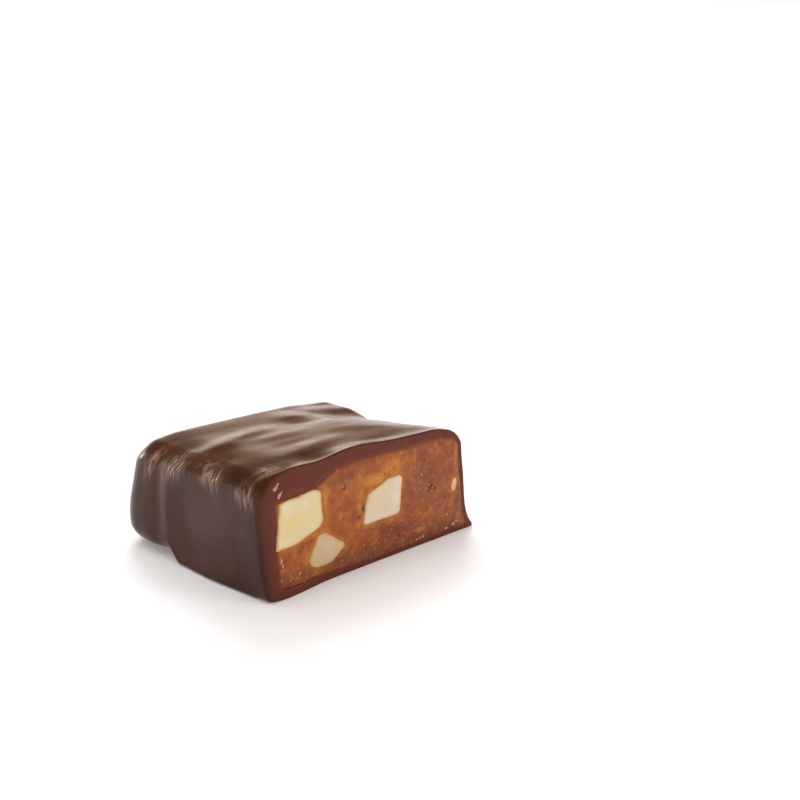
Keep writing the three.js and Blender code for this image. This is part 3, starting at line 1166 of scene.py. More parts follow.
    def wall(self) -> list[Array]:
        """Run the hollow's wall from its far end to the cut.

        Returns:
            Its rings.
        """
        form, hollow = self.form, self.hollow
        rings = [self.place(hollow.end_y, mix(form.core, hollow.section(1, 0, self.steps), 0.5))]
        for angle in np.linspace(math.pi / 2, 0, 4):
            y = hollow.end_y - hollow.plan_radius * (1 - math.sin(angle))
            rings.append(self.place(y, hollow.section(1 - math.cos(angle), 0, self.steps)))
        start = hollow.end_y - hollow.plan_radius
        for y in np.linspace(start, form.cut_y, self.wall_steps + 1)[1:]:
            rings.append(self.place(y, hollow.section(0, 0, self.steps)))
        return rings

    def build(self, material: bpy.types.Material) -> Piece:
        """Make the coat and set it in place of its node.

        Args:
            material: The chocolate's finish.

        Returns:
            The coat.
        """
        wall = self.wall()
        outside = self.relief(self.outside())
        rim, near, red = self.rim(wall[-1], outside[0])
        skin = RingSkin(wall[:-1] + rim + outside)
        hidden, plain = [1.0] * (len(wall) - 1), [0.0] * len(outside)
        cut_face = skin.spread(hidden + red + plain)
        vertices = skin.vertices()
        crinkled = np.clip(sum(c.share(vertices) for c in self.crinkles), 0, 1) * (1 - cut_face)
        marks = {
            "cut_face": cut_face,
            "near_toffee": skin.spread(hidden + near + plain),
            "crinkled": crinkled,
        }
        piece = make_piece("coat", vertices + SHIFT, skin.faces(), marks)
        settle(piece, material, "chocolate_coat")
        return piece


# ---------------------------------------------------------------------------------------------
# Nut pieces
# ---------------------------------------------------------------------------------------------

@dataclass(frozen=True)
class Spot:
    """A soft oval patch on the cut face: its middle, half width, half height and strength."""

    x: float
    z: float
    wide: float
    tall: float
    strength: float = 1.0

    def share(self, flat: Array) -> Array:
        """Return how strongly it covers each place of x and z."""
        across = bell(flat[..., 0], self.x, self.wide)
        return self.strength * across * bell(flat[..., 1], self.z, self.tall)


def cover(spots: Sequence[Spot], flat: Array) -> Array:
    """Return how strongly the strongest of some patches covers each place of x and z."""
    return np.max([spot.share(flat) for spot in spots], axis=0)


@dataclass(frozen=True)
class NutPiece:
    """A piece of nut in the toffee: its cut outline, and how it runs back to a smaller hidden end."""

    name: str
    corners: tuple[tuple[float, float], ...]
    depth: float
    taper: float
    drift: tuple[float, float]
    finish: NutFinish
    yellow: tuple[Spot, ...]
    pale: tuple[Spot, ...]
    # Cut facets, dented a little and painted pale as a highlight.
    facets_with_painted_highlight: tuple[Spot, ...] = ()
    corner_radius: float = 0.26
    points: int = 160
    proud: float = 0.14
    bevel: float = 0.16
    ragged: float = 0.07
    face_rings: int = 36
    face_wave: float = 0.07
    facet_depth: float = 0.12
    edge_width: float = 0.28

    def outline(self) -> Array:
        """Draw the rounded, slightly ragged outline at the cut.

        Returns:
            Its points as rows of x and z.
        """
        smooth = rounded_outline(self.corners, self.corner_radius, self.points)
        away = smooth - smooth.mean(axis=0)
        flat = np.stack([smooth[:, 0], smooth[:, 1], np.zeros(len(smooth))], axis=1)
        rough = 0.7 * lumps(flat, 1.1, self.depth) + 0.3 * lumps(flat, 0.35, self.depth)
        return smooth + away / np.linalg.norm(away, axis=1, keepdims=True) * self.ragged * rough[:, None]

    def build(self, cut_y: float) -> Piece:
        """Make the piece and set it in place of its node.

        Args:
            cut_y: The cut's plane.

        Returns:
            The piece.
        """
        face = self.outline()
        middle = face.mean(axis=0)
        rings = []

        def add(size: float, y: float, drift: float = 0.0, inset: float = 0.0) -> None:
            """Add a ring of the outline.

            Args:
                size: Its size as a share of the outline's.
                y: Where along the bar it lies.
                drift: How much of the piece's sideways drift it has.
                inset: How far it is drawn in, in mm.
            """
            away = face - middle
            reach = np.linalg.norm(away, axis=1, keepdims=True)
            flat = middle + away * size * (1 - inset / reach) + np.array(self.drift) * drift
            rings.append(np.stack([flat[:, 0], np.full(len(flat), y), flat[:, 1]], axis=1))

        for size in np.linspace(0.03, 1, self.face_rings, endpoint=False):
            add(size, cut_y - self.proud, inset=self.bevel)
        for angle in np.linspace(0, math.pi / 2, 7):
            back = self.bevel * (1 - math.cos(angle))
            add(1, cut_y - self.proud + back, inset=self.bevel * (1 - math.sin(angle)) + 1e-6)
        for share in np.linspace(0, 1, 9)[1:]:
            size = mix(1.0, 0.95, share) if share < 0.9 else self.taper
            add(float(size), cut_y + self.depth * share, drift=float(share))
        add(self.taper * 0.5, cut_y + self.depth, drift=1.0)

        skin = RingSkin(rings)
        vertices = skin.vertices()
        flat = vertices[:, [0, 2]]
        front = np.clip((cut_y + 0.3 - vertices[:, 1]) / 0.3, 0, 1)
        waves = self.face_wave * lumps(vertices, 1.9, self.depth)
        waves = waves + 0.02 * lumps(vertices, 0.5, self.taper)
        if self.facets_with_painted_highlight:
            waves = waves - self.facet_depth * cover(self.facets_with_painted_highlight, flat)
        vertices[:, 1] += front * waves
        wander = 0.25 * lumps(vertices, 1.6, self.taper)
        rim = bell(np.minimum(distance_outside(flat, face), 0), 0, self.edge_width)
        marks = {
            "edge": np.clip(rim * (0.62 + 0.6 * lumps(vertices, 1.3, self.depth)), 0, 0.85),
            "yellow": np.clip(cover(self.yellow, flat) + wander, 0, 1),
            # On the facets the pale mark is a painted highlight.
            "pale": np.clip(cover(self.pale + self.facets_with_painted_highlight, flat) - wander, 0, 1),
        }
        name = self.name.replace("nut_", "cream_nut_")
        piece = make_piece(name, vertices + SHIFT, skin.faces(), marks)
        settle(piece, self.finish.build(), self.name)
        return piece


def nut_pieces() -> list[NutPiece]:
    """List the nut pieces that show at the cut.

    Returns:
        The pieces, from the left one to the right one.
    """
    yellow = NutFinish("nut_yellow", srgb(238, 222, 178), srgb(240, 214, 146), srgb(242, 236, 208))
    pale = NutFinish("nut_pale", srgb(232, 214, 184), srgb(238, 216, 168), srgb(242, 232, 214))
    ivory = NutFinish("nut_ivory", srgb(214, 190, 152), srgb(218, 190, 130), srgb(224, 206, 174))
    tan = NutFinish("nut_tan", srgb(222, 186, 146), srgb(222, 182, 126), srgb(240, 222, 196))
    return [
        NutPiece(
            "nut_piece_left",
            (
                (-13.95, 5.8), (-10.9, 5.9), (-7.5, 7.0), (-7.0, 7.7),
                (-7.3, 11.3), (-8.2, 11.8), (-13.35, 11.5),
            ),
            depth=6.2, taper=0.8, drift=(0.5, -0.4), finish=yellow,
            yellow=(Spot(-11.8, 8.5, 2.0, 1.4), Spot(-8.6, 9.6, 0.8, 1.8, 0.4)),
            pale=(Spot(-12.8, 10.8, 1.6, 0.8, 0.6), Spot(-13.2, 6.3, 0.8, 0.9, 0.7)),
            facets_with_painted_highlight=(Spot(-9.7, 10.6, 0.5, 0.45, 0.9),),
        ),
        NutPiece(
            "nut_piece_middle",
            (
                (-0.95, 5.45), (-0.2, 5.2), (4.4, 5.2), (4.9, 5.5), (5.2, 9.7),
                (4.8, 10.15), (2.9, 10.05), (-0.1, 8.9), (-0.6, 7.6),
            ),
            depth=5.4, taper=0.76, drift=(-0.3, 0.3), finish=pale,
            yellow=(Spot(1.6, 8.2, 1.4, 1.2, 0.9),),
            pale=(Spot(4.4, 8.0, 0.8, 2.4, 0.8), Spot(1.6, 5.7, 2.4, 0.6, 0.7)),
        ),
        NutPiece(
            "nut_piece_low",
            (
                (-9.3, 3.3), (-8.9, 2.5), (-8.0, 2.05), (-5.8, 2.2), (-3.7, 3.65),
                (-4.0, 4.1), (-6.7, 6.2), (-7.8, 6.0), (-8.6, 4.6),
            ),
            depth=4.6, taper=0.72, drift=(0.4, 0.5), finish=ivory,
            yellow=(Spot(-8.3, 3.6, 0.9, 1.4, 0.8),),
            pale=(Spot(-6.2, 4.4, 1.2, 1.0, 0.7), Spot(-4.6, 3.9, 0.6, 0.4, 0.8)),
        ),
        NutPiece(
            "nut_sliver_right",
            ((13.3, 5.6), (13.9, 5.6), (14.1, 6.5), (13.95, 7.3), (13.5, 7.3), (13.2, 6.4)),
            depth=1.4, taper=0.7, drift=(-0.1, 0.0), finish=tan,
            yellow=(Spot(13.7, 5.8, 0.3, 0.4, 0.8),),
            pale=(Spot(13.75, 7.0, 0.25, 0.4, 0.9),),
            corner_radius=0.2, points=48, proud=0.24, bevel=0.1, ragged=0.03,
        ),
    ]


# ---------------------------------------------------------------------------------------------
# The toffee
# ---------------------------------------------------------------------------------------------

@dataclass(frozen=True)
class Pit:
    """A burst bubble in the toffee's cut face."""

    x: float
    z: float
    radius: float


@dataclass
class ToffeeFilling:
    """The slab of toffee: a finely worked cut face, with a pocket for each nut, and plain sides."""

    form: BarForm
    hollow: Hollow
    nuts: list[NutPiece]
    across: int = 270
    up: int = 112
    swell: float = 0.1
    foot_push: float = 0.45
    face_wave: float = 0.08
    seam_width: float = 0.24
    pocket_room: float = 0.1
    end_gap: float = 0.1
    side_gap: float = 0.985
    small_pits: int = 60
    hidden_brown: float = 0.6
    coat_brown: float = 0.8
    low_brown: float = 0.55
    seed: int = 11
    named_pits: tuple[Pit, ...] = (
        Pit(9.7, 7.3, 0.42),
        Pit(10.35, 6.85, 0.3),
        Pit(-3.9, 10.8, 0.34),
        Pit(-0.85, 7.4, 0.26),
        Pit(-1.5, 6.5, 0.2),
        Pit(0.4, 0.95, 0.3),
        Pit(2.5, 0.95, 0.22),
    )
    # Golden patches, most of them a painted glow round the nuts.
    golden_and_painted_glow: tuple[Spot, ...] = (
        Spot(-1.2, 8.9, 0.8, 2.4, 0.9),
        Spot(1.0, 10.5, 2.2, 0.8, 1.0),
        Spot(3.6, 11.2, 1.6, 0.9, 0.9),
        Spot(-6.6, 9.6, 0.5, 2.4, 0.9),
        Spot(-6.6, 12.0, 1.2, 0.5, 0.5),
        Spot(-9.6, 3.4, 0.6, 1.6, 1.0),
        Spot(-8.2, 6.4, 1.4, 0.5, 0.9),
        Spot(-8.4, 1.5, 1.6, 0.5, 0.7),
        Spot(7.2, 11.8, 0.22, 0.9, 0.8),
        Spot(4.2, 11.9, 0.8, 0.6, 1.0),
        Spot(-1.6, 5.6, 0.7, 0.6, 0.6),
        Spot(14.2, 10.5, 0.5, 2.4, 0.4),
    )
    brown: tuple[Spot, ...] = (
        Spot(14.4, 4.2, 0.7, 2.4, 0.9),
        Spot(10.0, 8.0, 3.6, 4.6, 0.42),
        Spot(12.4, 3.4, 1.6, 0.8, 0.5),
        Spot(-4.0, 12.0, 2.6, 0.6, 0.6),
        Spot(4.5, 3.2, 3.5, 1.2, 0.45),
        Spot(-12.8, 1.4, 1.4, 0.9, 0.7),
        Spot(0.6, 1.3, 1.6, 0.8, 0.8),
        Spot(-0.9, 7.4, 0.3, 0.7, 0.9),
        Spot(-1.5, 6.5, 0.35, 0.3, 0.8),
    )
    # A real pale smear at the right, and a painted highlight streak at the left edge.
    smears_and_painted_highlight: tuple[Spot, ...] = (Spot(7.9, 2.2, 1.3, 0.22, 0.5), Spot(-13.3, 4.7, 0.14, 0.6, 0.6))

    def __post_init__(self) -> None:
        """Draw the small pits and the outlines of the face and the nuts once."""
        draw = random.Random(self.seed)
        self.pits = list(self.named_pits)
        for _ in range(self.small_pits):
            place = draw.uniform(-13, 14.5), draw.uniform(1.2, 12.5)
            self.pits.append(Pit(*place, draw.uniform(0.1, 0.22)))
        self.nut_outlines = {nut.name: nut.outline() for nut in self.nuts}
        border = self.border()
        self.outline = self.form.shape(border[:, 0], self.form.cut_y, border[:, 1])[::4, [0, 2]]

    def border(self) -> Array:
        """Run round the cut face in the plain bar: base, right, top and left.

        Returns:
            The border's points as rows of x and z, evenly spaced along each side.
        """
        steps = {"base": 40, "corner": 8, "side": 30, "top": 80}
        ring = self.hollow.section(0, 0.06, steps)
        corner = steps["corner"]
        marks = [-corner // 2, steps["base"] + corner // 2]
        marks.append(marks[1] + corner + steps["side"])
        marks.append(marks[2] + corner + steps["top"])
        marks.append(len(ring) + marks[0])
        counts = (self.across, self.up, self.across, self.up)
        sides = []
        for start, end, count in zip(marks, marks[1:], counts):
            line = ring[np.arange(start, end + 1) % len(ring)]
            sides.append(resample(line, count + 1)[:-1])
        return np.concatenate(sides)

    def face_grid(self, border: Array) -> Array:
        """Fill the border with a grid.

        Args:
            border: The border's points, in order.

        Returns:
            The grid of points, by height and then across.
        """
        across, up = self.across, self.up
        base = border[:across + 1]
        right = border[across:across + up + 1]
        top = border[across + up:2 * across + up + 1][::-1]
        left = np.concatenate([border[2 * across + up:], border[:1]])[::-1]
        u = np.linspace(0, 1, across + 1)[None, :, None]
        v = np.linspace(0, 1, up + 1)[:, None, None]
        ruled = mix(base[None], top[None], v) + mix(left[:, None], right[:, None], u)
        return ruled - mix(mix(base[0], base[-1], u), mix(top[0], top[-1], u), v)

    def nut_distance(self, flat: Array) -> Array:
        """Return how far each place is outside the nearest nut piece."""
        outlines = self.nut_outlines.values()
        return np.min([distance_outside(flat, outline) for outline in outlines], axis=0)

    def coat_distance(self, flat: Array) -> Array:
        """Return how far each place is from the coat."""
        return np.maximum(-distance_outside(flat, self.outline), 0)

    def height(self, flat: Array) -> Array:
        """Say how far the cut face stands towards the viewer.

        Args:
            flat: Places on the face, as rows of x and z.

        Returns:
            The height over the cut's plane, in mm.
        """
        points = np.stack([flat[:, 0], np.full(len(flat), self.form.cut_y), flat[:, 1]], axis=1)
        edge, from_nut = self.coat_distance(flat), self.nut_distance(flat)
        inner = ease(0.02, 0.4, edge)
        fine = 0.05 * lumps(points, 0.9, 2.7) + 0.03 * lumps(points, 0.42, 4.1)
        height = self.swell * ease(0, 1.2, edge) - 0.04 * (1 - ease(0, 0.15, edge))
        height += inner * (self.face_wave * lumps(points, 2.6, 1.3) + fine)
        for pit in self.pits:
            away = np.hypot(flat[:, 0] - pit.x, flat[:, 1] - pit.z) / pit.radius
            bowl = np.sqrt(np.clip(1 - away ** 2, 0, 1))
            height -= inner * pit.radius * (0.7 * bowl - 0.12 * bell(away, 1.15, 0.3))
        height *= ease(-0.1, 0.55, from_nut)
        push = self.foot_push * ease(5.0, 13.5, -flat[:, 0]) * (1 - ease(0.0, 5.0, flat[:, 1]))
        return height + 0.03 * bell(from_nut, 0.1, 0.2) + push

    def build(self, material: bpy.types.Material) -> Piece:
        """Make the filling and set it in place of its node.

        Args:
            material: The toffee's finish.

        Returns:
            The filling.
        """
        form, hollow = self.form, self.hollow
        border = self.border()
        grid = self.face_grid(border).reshape(-1, 2)
        face = form.shape(grid[:, 0], form.cut_y, grid[:, 1])
        flat = face[:, [0, 2]]
        depth = np.zeros(len(face))
        for nut in self.nuts:
            inside = distance_outside(flat, self.nut_outlines[nut.name]) < -self.seam_width
            depth[inside] = nut.depth + self.pocket_room
        face[:, 1] = form.cut_y - self.height(flat) + depth

        loop = self.loop_indices()
        vertices = [face]
        wall_y = np.linspace(form.cut_y + 0.3, hollow.end_y - hollow.plan_radius, 8)
        rings = [(y, 1.0) for y in wall_y]
        for angle in np.linspace(0, math.pi / 2, 5)[1:]:
            y = hollow.end_y - self.end_gap - hollow.plan_radius * (1 - math.sin(angle))
            rings.append((y, 1 - 0.12 * (1 - math.cos(angle))))
        rings += [(hollow.end_y - self.end_gap, size) for size in (0.6, 0.3, 0.08)]
        inside = mix(form.core, border, self.side_gap)
        for y, size in rings:
            plain = mix(form.core, inside, size)
            vertices.append(form.shape(plain[:, 0], y, plain[:, 1]))
        hub = vertices[-1].mean(axis=0, keepdims=True)
        vertices.append(hub)
        points = np.concatenate(vertices)

        marks = {name: np.zeros(len(points)) for name in ("golden_and_painted_glow", "browned", "smeared_and_painted_highlight")}
        lean = 1 + 0.5 * lumps(face, 1.5, 8.1)
        # Painted glow: the toffee turns golden near each nut.
        glow = (0.6 + 0.5 * lumps(face, 2.2, 5.2)) * bell(np.maximum(self.nut_distance(flat), 0), 0, 0.5)
        marks["golden_and_painted_glow"][:len(face)] = np.clip(np.maximum(cover(self.golden_and_painted_glow, flat) * lean, glow), 0, 1)
        level = flat[:, 1] - 0.8 + 0.9 * lumps(face, 2.0, 6.6)
        low = self.low_brown * (1 - ease(0.6, 3.2, level))
        rim = self.coat_brown * bell(self.coat_distance(flat), 0, 0.35)
        brown = np.maximum.reduce([low, rim, cover(self.brown, flat) * lean])
        marks["browned"][:len(face)] = np.clip(brown, 0, 1)
        marks["browned"][len(face):] = self.hidden_brown
        marks["smeared_and_painted_highlight"][:len(face)] = np.clip(cover(self.smears_and_painted_highlight, flat) * lean, 0, 1)

        piece = make_piece("filling", points + SHIFT, self.faces(loop, len(rings)), marks)
        settle(piece, material, "toffee_filling")
        return piece

    def loop_indices(self) -> Array:
        """Find the border's points in the face's grid.

        Returns:
            Their indices, in the order of the border.
        """
        row = self.across + 1
        base = np.arange(self.across)
        right = self.across + row * np.arange(self.up)
        top = row * self.up + self.across - np.arange(self.across)
        left = row * (self.up - np.arange(self.up))
        return np.concatenate([base, right, top, left])

    def faces(self, loop: Array, ring_count: int) -> list[tuple[int, ...]]:
        """Return the faces of the cut face, the sides and the far end.

        Args:
            loop: The face grid's border.
            ring_count: How many rings the sides have.

        Returns:
            The faces.
        """
        row = self.across + 1
        corner = (np.arange(self.up)[:, None] * row + np.arange(self.across)[None]).ravel()
        quads = [np.stack([corner, corner + 1, corner + row + 1, corner + row], axis=1)]
        count = len(loop)
        first = row * (self.up + 1)
        here = loop
        for ring in range(ring_count):
            there = first + ring * count + np.arange(count)
            quads.append(np.stack([here, there, np.roll(there, -1), np.roll(here, -1)], axis=1))
            here = there
        hub = first + ring_count * count
        faces = [tuple(quad) for quad in np.concatenate(quads).tolist()]
        return faces + [(b, a, hub) for a, b in zip(here.tolist(), np.roll(here, -1).tolist())]


# ---------------------------------------------------------------------------------------------
# Small things on the cut face
# ---------------------------------------------------------------------------------------------

@dataclass(frozen=True)
class Scrap:
    """A small lump on the cut face: its middle, half width, half height and turn in degrees."""

    x: float
    z: float
    wide: float
    tall: float
    turn: float = 0.0


@dataclass(frozen=True)
class Trimming:
    """Small lumps of one kind, pressed into the cut face and joined in one piece."""

    name: str
    slot: Slot
    finish: BeadFinish
    scraps: tuple[Scrap, ...]
    thick: float = 0.6
    proud: float = 0.35
    rough: float = 0.12
    rings: int = 7
    points: int = 14

    def lump(self, scrap: Scrap) -> list[Array]:
        """Shape one lump round its own middle, with y towards the uncut end.

        Args:
            scrap: Its place and size.

        Returns:
            Its rings.
        """
        turn = math.radians(scrap.turn)
        around = 2 * np.pi * np.arange(self.points) / self.points
        rings = []
        for tip in np.linspace(0.12, math.pi - 0.12, self.rings):
            wide = scrap.wide * math.sin(tip) * np.cos(around)
            tall = scrap.tall * math.sin(tip) * np.sin(around)
            x = wide * math.cos(turn) - tall * math.sin(turn)
            y = np.full(self.points, -self.thick * min(scrap.wide, scrap.tall) * math.cos(tip))
            z = wide * math.sin(turn) + tall * math.cos(turn)
            ring = np.stack([x, y, z], axis=1)
            seat = np.array([scrap.x, 0.0, scrap.z])
            rings.append(ring * (1 + self.rough * lumps(ring + seat, scrap.wide, 3.3))[:, None])
        return rings

    def build(self, cut_y: float, height: Callable[[Array], Array]) -> Piece:
        """Make the piece.

        Args:
            cut_y: The cut's plane.
            height: Says how far the cut face stands towards the viewer at each x and z.

        Returns:
            The piece.
        """
        vertices, faces = [], []
        stands = height(np.array([[scrap.x, scrap.z] for scrap in self.scraps]))
        for scrap, stand in zip(self.scraps, stands):
            skin = RingSkin(self.lump(scrap))
            out = stand + (2 * self.proud - 1) * self.thick * min(scrap.wide, scrap.tall)
            first = sum(len(part) for part in vertices)
            vertices.append(skin.vertices() + [scrap.x, cut_y - out, scrap.z])
            faces += [tuple(first + corner for corner in face) for face in skin.faces()]
        piece = make_piece(self.name, np.concatenate(vertices) + SHIFT, faces, {})
        settle(piece, self.finish.build())
        return piece


def scattered(
    seed: int, count: int, within: tuple[float, float, float, float], sizes: tuple[float, float]
) -> tuple[Scrap, ...]:
    """Scatter small lumps over a part of the cut face.

    Args:
        seed: Picks the scatter.
        count: How many there are.
        within: The part's lowest and highest x, then its lowest and highest z.
        sizes: The smallest and the largest half width.

    Returns:
        The lumps.
    """
    draw = random.Random(seed)
    scraps = []
    for _ in range(count):
        wide = draw.uniform(*sizes)
        place = draw.uniform(within[0], within[1]), draw.uniform(within[2], within[3])
        scraps.append(Scrap(*place, wide, wide * draw.uniform(0.7, 1.3), draw.uniform(0, 180)))
    return tuple(scraps)


def toffee_trimmings() -> list[Trimming]:
    """List the small things in the toffee's cut face.

    Returns:
        One trimming for each kind.
    """
    # Painted highlight: the syrup glints are coloured pale pinkish white.
    syrup = BeadFinish("syrup_glint", srgb(238, 208, 196), srgb(224, 176, 150), gloss=0.12)
    grain = BeadFinish("pale_grain", srgb(214, 158, 96), srgb(196, 126, 64))
    crumb = BeadFinish("nut_crumb", srgb(226, 186, 148), srgb(204, 150, 96))
    fleck = BeadFinish("dark_fleck", srgb(104, 34, 20), srgb(84, 30, 18), gloss=0.2)
    low_grains = scattered(5, 46, (-12.5, 13.0, 1.6, 4.6), (0.06, 0.12))
    right_grains = scattered(8, 26, (5.8, 13.5, 4.6, 12.0), (0.05, 0.09))
    return [
        Trimming(
            "syrup_glints", Slot.TOFFEE, syrup, rough=0.2, scraps=(
                Scrap(9.82, 7.34, 0.14, 0.15), Scrap(10.36, 6.82, 0.15, 0.11, -30),
                Scrap(-3.85, 10.94, 0.1, 0.24, -10), Scrap(8.39, 9.08, 0.07, 0.16),
                Scrap(4.2, 10.48, 0.14, 0.12), Scrap(1.33, 10.55, 0.11, 0.11),
                Scrap(-13.22, 4.48, 0.1, 0.4, -14), Scrap(-13.1, 3.9, 0.07, 0.2, -20),
                Scrap(-10.72, 2.32, 0.22, 0.09, 30), Scrap(-13.39, 2.2, 0.11, 0.11),
                Scrap(-12.17, 1.99, 0.09, 0.08), Scrap(-10.12, 1.08, 0.07, 0.14),
            ),
        ),
        Trimming(
            "pale_grains", Slot.TOFFEE, grain, proud=0.2, scraps=(
                Scrap(4.43, 11.65, 0.16, 0.14), Scrap(4.0, 11.95, 0.11, 0.12),
                Scrap(3.65, 12.29, 0.1, 0.12), Scrap(-3.4, 4.19, 0.18, 0.14),
                Scrap(-2.42, 4.69, 0.14, 0.14), Scrap(3.52, 3.47, 0.13, 0.14),
                Scrap(0.18, 2.58, 0.14, 0.16), Scrap(-2.14, 1.5, 0.13, 0.1),
                Scrap(-4.3, 1.9, 0.14, 0.11), Scrap(12.63, 2.81, 0.18, 0.26, 20),
                Scrap(-7.0, 11.7, 0.13, 0.17), Scrap(1.9, 11.6, 0.1, 0.1),
            ) + low_grains + right_grains,
        ),
        Trimming(
            "nut_crumbs", Slot.NUT, crumb, rough=0.25, scraps=(
                Scrap(7.74, 0.95, 0.26, 0.12, 12), Scrap(8.3, 1.0, 0.12, 0.14),
                Scrap(8.78, 1.05, 0.15, 0.18, 30), Scrap(12.53, 1.0, 0.28, 0.13, 8),
                Scrap(13.7, 1.25, 0.22, 0.2), Scrap(14.15, 1.5, 0.2, 0.16, 40),
            ),
        ),
        Trimming(
            "dark_flecks", Slot.TOFFEE, fleck, proud=0.12, rough=0.3, scraps=(
                Scrap(-0.85, 7.6, 0.13, 0.42, 4), Scrap(-1.8, 6.5, 0.2, 0.16, -40),
                Scrap(0.06, 1.15, 0.26, 0.16), Scrap(3.18, 0.95, 0.4, 0.14, 8),
                Scrap(-2.9, 1.1, 0.2, 0.1), Scrap(9.5, 6.75, 0.3, 0.16, 15),
            ),
        ),
    ]


def rim_glints() -> Trimming:
    """Describe the glossy drops that the knife left on the coat's left corner, coloured pale pink as a
    painted highlight.

    Returns:
        The drops, as one trimming.
    """
    # Painted highlight: the drops are pale pink rather than the chocolate's own colour.
    finish = BeadFinish("painted_glint_drop", srgb(214, 170, 158), srgb(168, 108, 92), gloss=0.12)
    scraps = (
        Scrap(-13.78, 13.5, 0.44, 0.3, 52), Scrap(-13.4, 13.85, 0.2, 0.14, 50),
        Scrap(-13.25, 12.4, 0.4, 0.24, 55), Scrap(-12.9, 12.75, 0.18, 0.12, 40),
    )
    return Trimming("painted_glint_drops", Slot.CHOCOLATE, finish, scraps, rough=0.25)


# ---------------------------------------------------------------------------------------------
# The studio
# ---------------------------------------------------------------------------------------------

@dataclass(frozen=True)
class SoftBox:
    """A square soft light that faces the sweet: place and side in metres, and power in watts."""

    name: str
    place: tuple[float, float, float]
    size: float
    power: float
    shines: bool = True

    def hang(self) -> None:
        """Hang the light, hidden from the camera and, unless it shines, from glossy surfaces."""
        data = bpy.data.lights.new(self.name, "AREA")
        data.size = self.size
        data.energy = self.power
        light = bpy.data.objects.new(self.name, data)
        light.location = self.place
        light.rotation_euler = (-Vector(self.place)).to_track_quat("-Z", "Y").to_euler()
        light.visible_camera = False
        light.visible_glossy = self.shines
        bpy.context.scene.collection.objects.link(light)


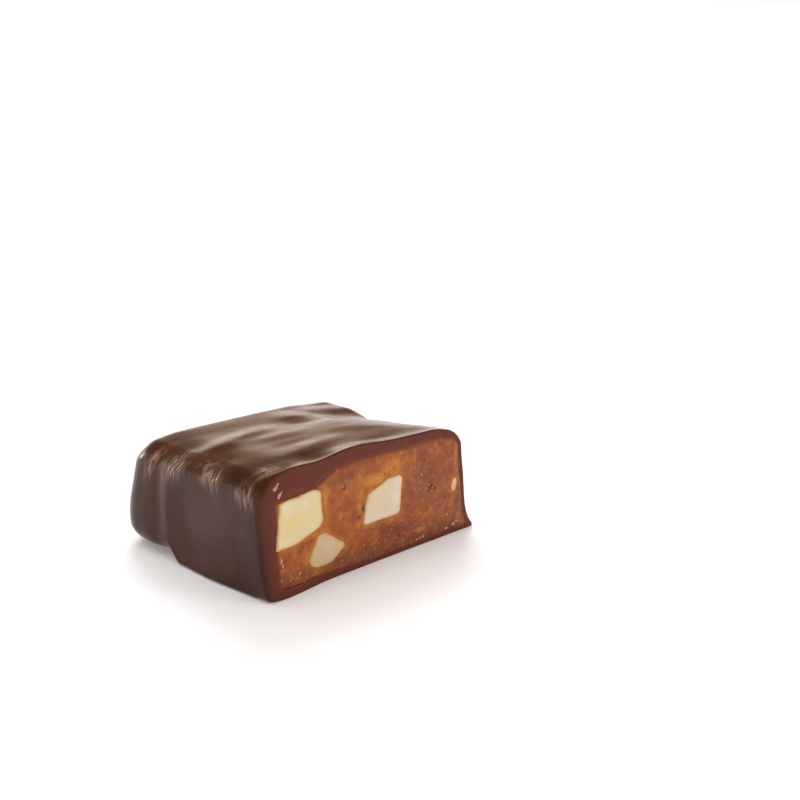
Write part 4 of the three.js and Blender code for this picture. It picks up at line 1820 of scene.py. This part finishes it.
@dataclass
class Studio:
    """A pale floor, soft light all round and above, and the camera of the photograph's view."""

    lens: float = 85.0
    camera_place: tuple[float, float, float] = (-134.98, -163.475, 91.95)
    pitch: float = 19.48
    heading: float = 42.9
    floor_size: float = 6.0
    band: tuple[tuple[float, float, float, float], ...] = (
        (0.0, 1.0, 0.86, 0.74),
        (0.1, 0.92, 0.75, 0.62),
        (0.18, 0.48, 0.335, 0.25),
        (0.26, 0.18, 0.112, 0.08),
        (0.36, 0.09, 0.06, 0.045),
        (1.0, 0.05, 0.035, 0.028),
    )
    sky_turn: tuple[float, float] = (-0.7, 0.25)
    sky_strength: tuple[float, float] = (0.7, 2.15)
    lights: tuple[SoftBox, ...] = (
        SoftBox("dome", (-0.15, 0.15, 0.8), 1.1, 6.6, shines=False),
        SoftBox("back", (0.22, 0.3, 0.34), 0.22, 1.6, shines=False),
        SoftBox("fill", (0.25, -0.42, 0.28), 0.22, 0.6),
        SoftBox("glint", (-0.06, 0.4, 0.05), 0.09, 0.22),
    )

    def camera(self) -> None:
        """Set up the camera."""
        data = bpy.data.cameras.new("camera")
        data.lens = self.lens
        data.sensor_width = 36.0
        data.clip_start = 0.01
        camera = bpy.data.objects.new("camera", data)
        camera.location = tuple(v * MM for v in self.camera_place)
        camera.rotation_euler = (math.radians(90 - self.pitch), 0.0, math.radians(-self.heading))
        bpy.context.scene.collection.objects.link(camera)
        bpy.context.scene.camera = camera

    def floor(self) -> None:
        """Lay a plain pale floor."""
        half = self.floor_size / 2
        mesh = bpy.data.meshes.new("floor")
        z = -0.02 * MM
        corners = [(-half, -half, z), (half, -half, z), (half, half, z), (-half, half, z)]
        mesh.from_pydata(corners, [], [(0, 1, 2, 3)])
        floor = bpy.data.objects.new("floor", mesh)
        bpy.context.scene.collection.objects.link(floor)
        s = Shader("floor")
        s.set(
            Base_Color=(0.86, 0.86, 0.87),
            Roughness=0.8,
            Specular_IOR_Level=0.1,
            Emission_Color=(1.0, 0.975, 0.965),
            Emission_Strength=0.19,
        )
        mesh.materials.append(s.material)

    def sky(self) -> None:
        """Light the room: a bright band round the horizon, brightest at the back, and dim overhead."""
        world = bpy.data.worlds.new("room")
        bpy.context.scene.world = world
        world.use_nodes = True
        tree = world.node_tree
        place = tree.nodes.new("ShaderNodeTexCoord")
        split = tree.nodes.new("ShaderNodeSeparateXYZ")
        ramp = tree.nodes.new("ShaderNodeValToRGB")
        stops = ramp.color_ramp.elements
        while len(stops) < len(self.band):
            stops.new(0.5)
        for stop, (position, *colour) in zip(stops, self.band):
            stop.position = position
            stop.color = (*colour, 1.0)
        facing = tree.nodes.new("ShaderNodeVectorMath")
        facing.operation = "DOT_PRODUCT"
        heading = math.radians(self.heading)
        facing.inputs[1].default_value = (math.sin(heading), math.cos(heading), 0.0)
        strength = tree.nodes.new("ShaderNodeMapRange")
        ends = ("From Min", "From Max", "To Min", "To Max")
        for name, value in zip(ends, self.sky_turn + self.sky_strength):
            strength.inputs[name].default_value = value
        background = tree.nodes["Background"]
        tree.links.new(place.outputs["Generated"], split.inputs[0])
        tree.links.new(place.outputs["Generated"], facing.inputs[0])
        tree.links.new(facing.outputs["Value"], strength.inputs["Value"])
        tree.links.new(split.outputs["Z"], ramp.inputs["Fac"])
        tree.links.new(ramp.outputs["Color"], background.inputs["Color"])
        tree.links.new(strength.outputs["Result"], background.inputs["Strength"])

    def build(self) -> None:
        """Set the stage."""
        self.camera()
        self.floor()
        self.sky()
        for light in self.lights:
            light.hang()
        bpy.context.scene.view_settings.view_transform = "Standard"


def find_shift(form: BarForm) -> Array:
    """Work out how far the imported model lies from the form's own numbers.

    Args:
        form: The form of the bar.

    Returns:
        The shift in mm, along x, y and z.
    """
    low, high = (np.array(corner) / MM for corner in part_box("chocolate_coat"))
    ring = form.outside_section(form.cut_y, 0).ring(base=8, corner=4, side=6, top=20)
    cut = form.shape(ring[:, 0], form.cut_y, ring[:, 1])
    sideways = high[0] - cut[:, 0].max()
    return np.array([sideways, low[1] - form.cut_y, low[2]])


FORM = BarForm()
SHIFT = find_shift(FORM)


def main() -> None:
    """Build the half bar and its studio, in order."""
    logging.basicConfig(level=logging.INFO, format="%(name)s: %(message)s")
    LOG.info("shift of the packed model: %s mm", np.round(SHIFT, 3).tolist())
    hollow = Hollow(FORM)
    nuts = nut_pieces()
    coat = ChocolateCoat(FORM, hollow)
    filling = ToffeeFilling(FORM, hollow, nuts)
    Studio().build()
    pieces = [coat.build(ChocolateFinish().build()), filling.build(ToffeeFinish().build())]
    pieces += [nut.build(FORM.cut_y) for nut in nuts]
    pieces += [trimming.build(FORM.cut_y, filling.height) for trimming in toffee_trimmings()]
    pieces.append(rim_glints().build(FORM.cut_y, coat.rim_stand))
    for piece in pieces:
        LOG.info("%s: %d faces", piece.name, len(piece.data.polygons))


if __name__ == "__main__":
    main()
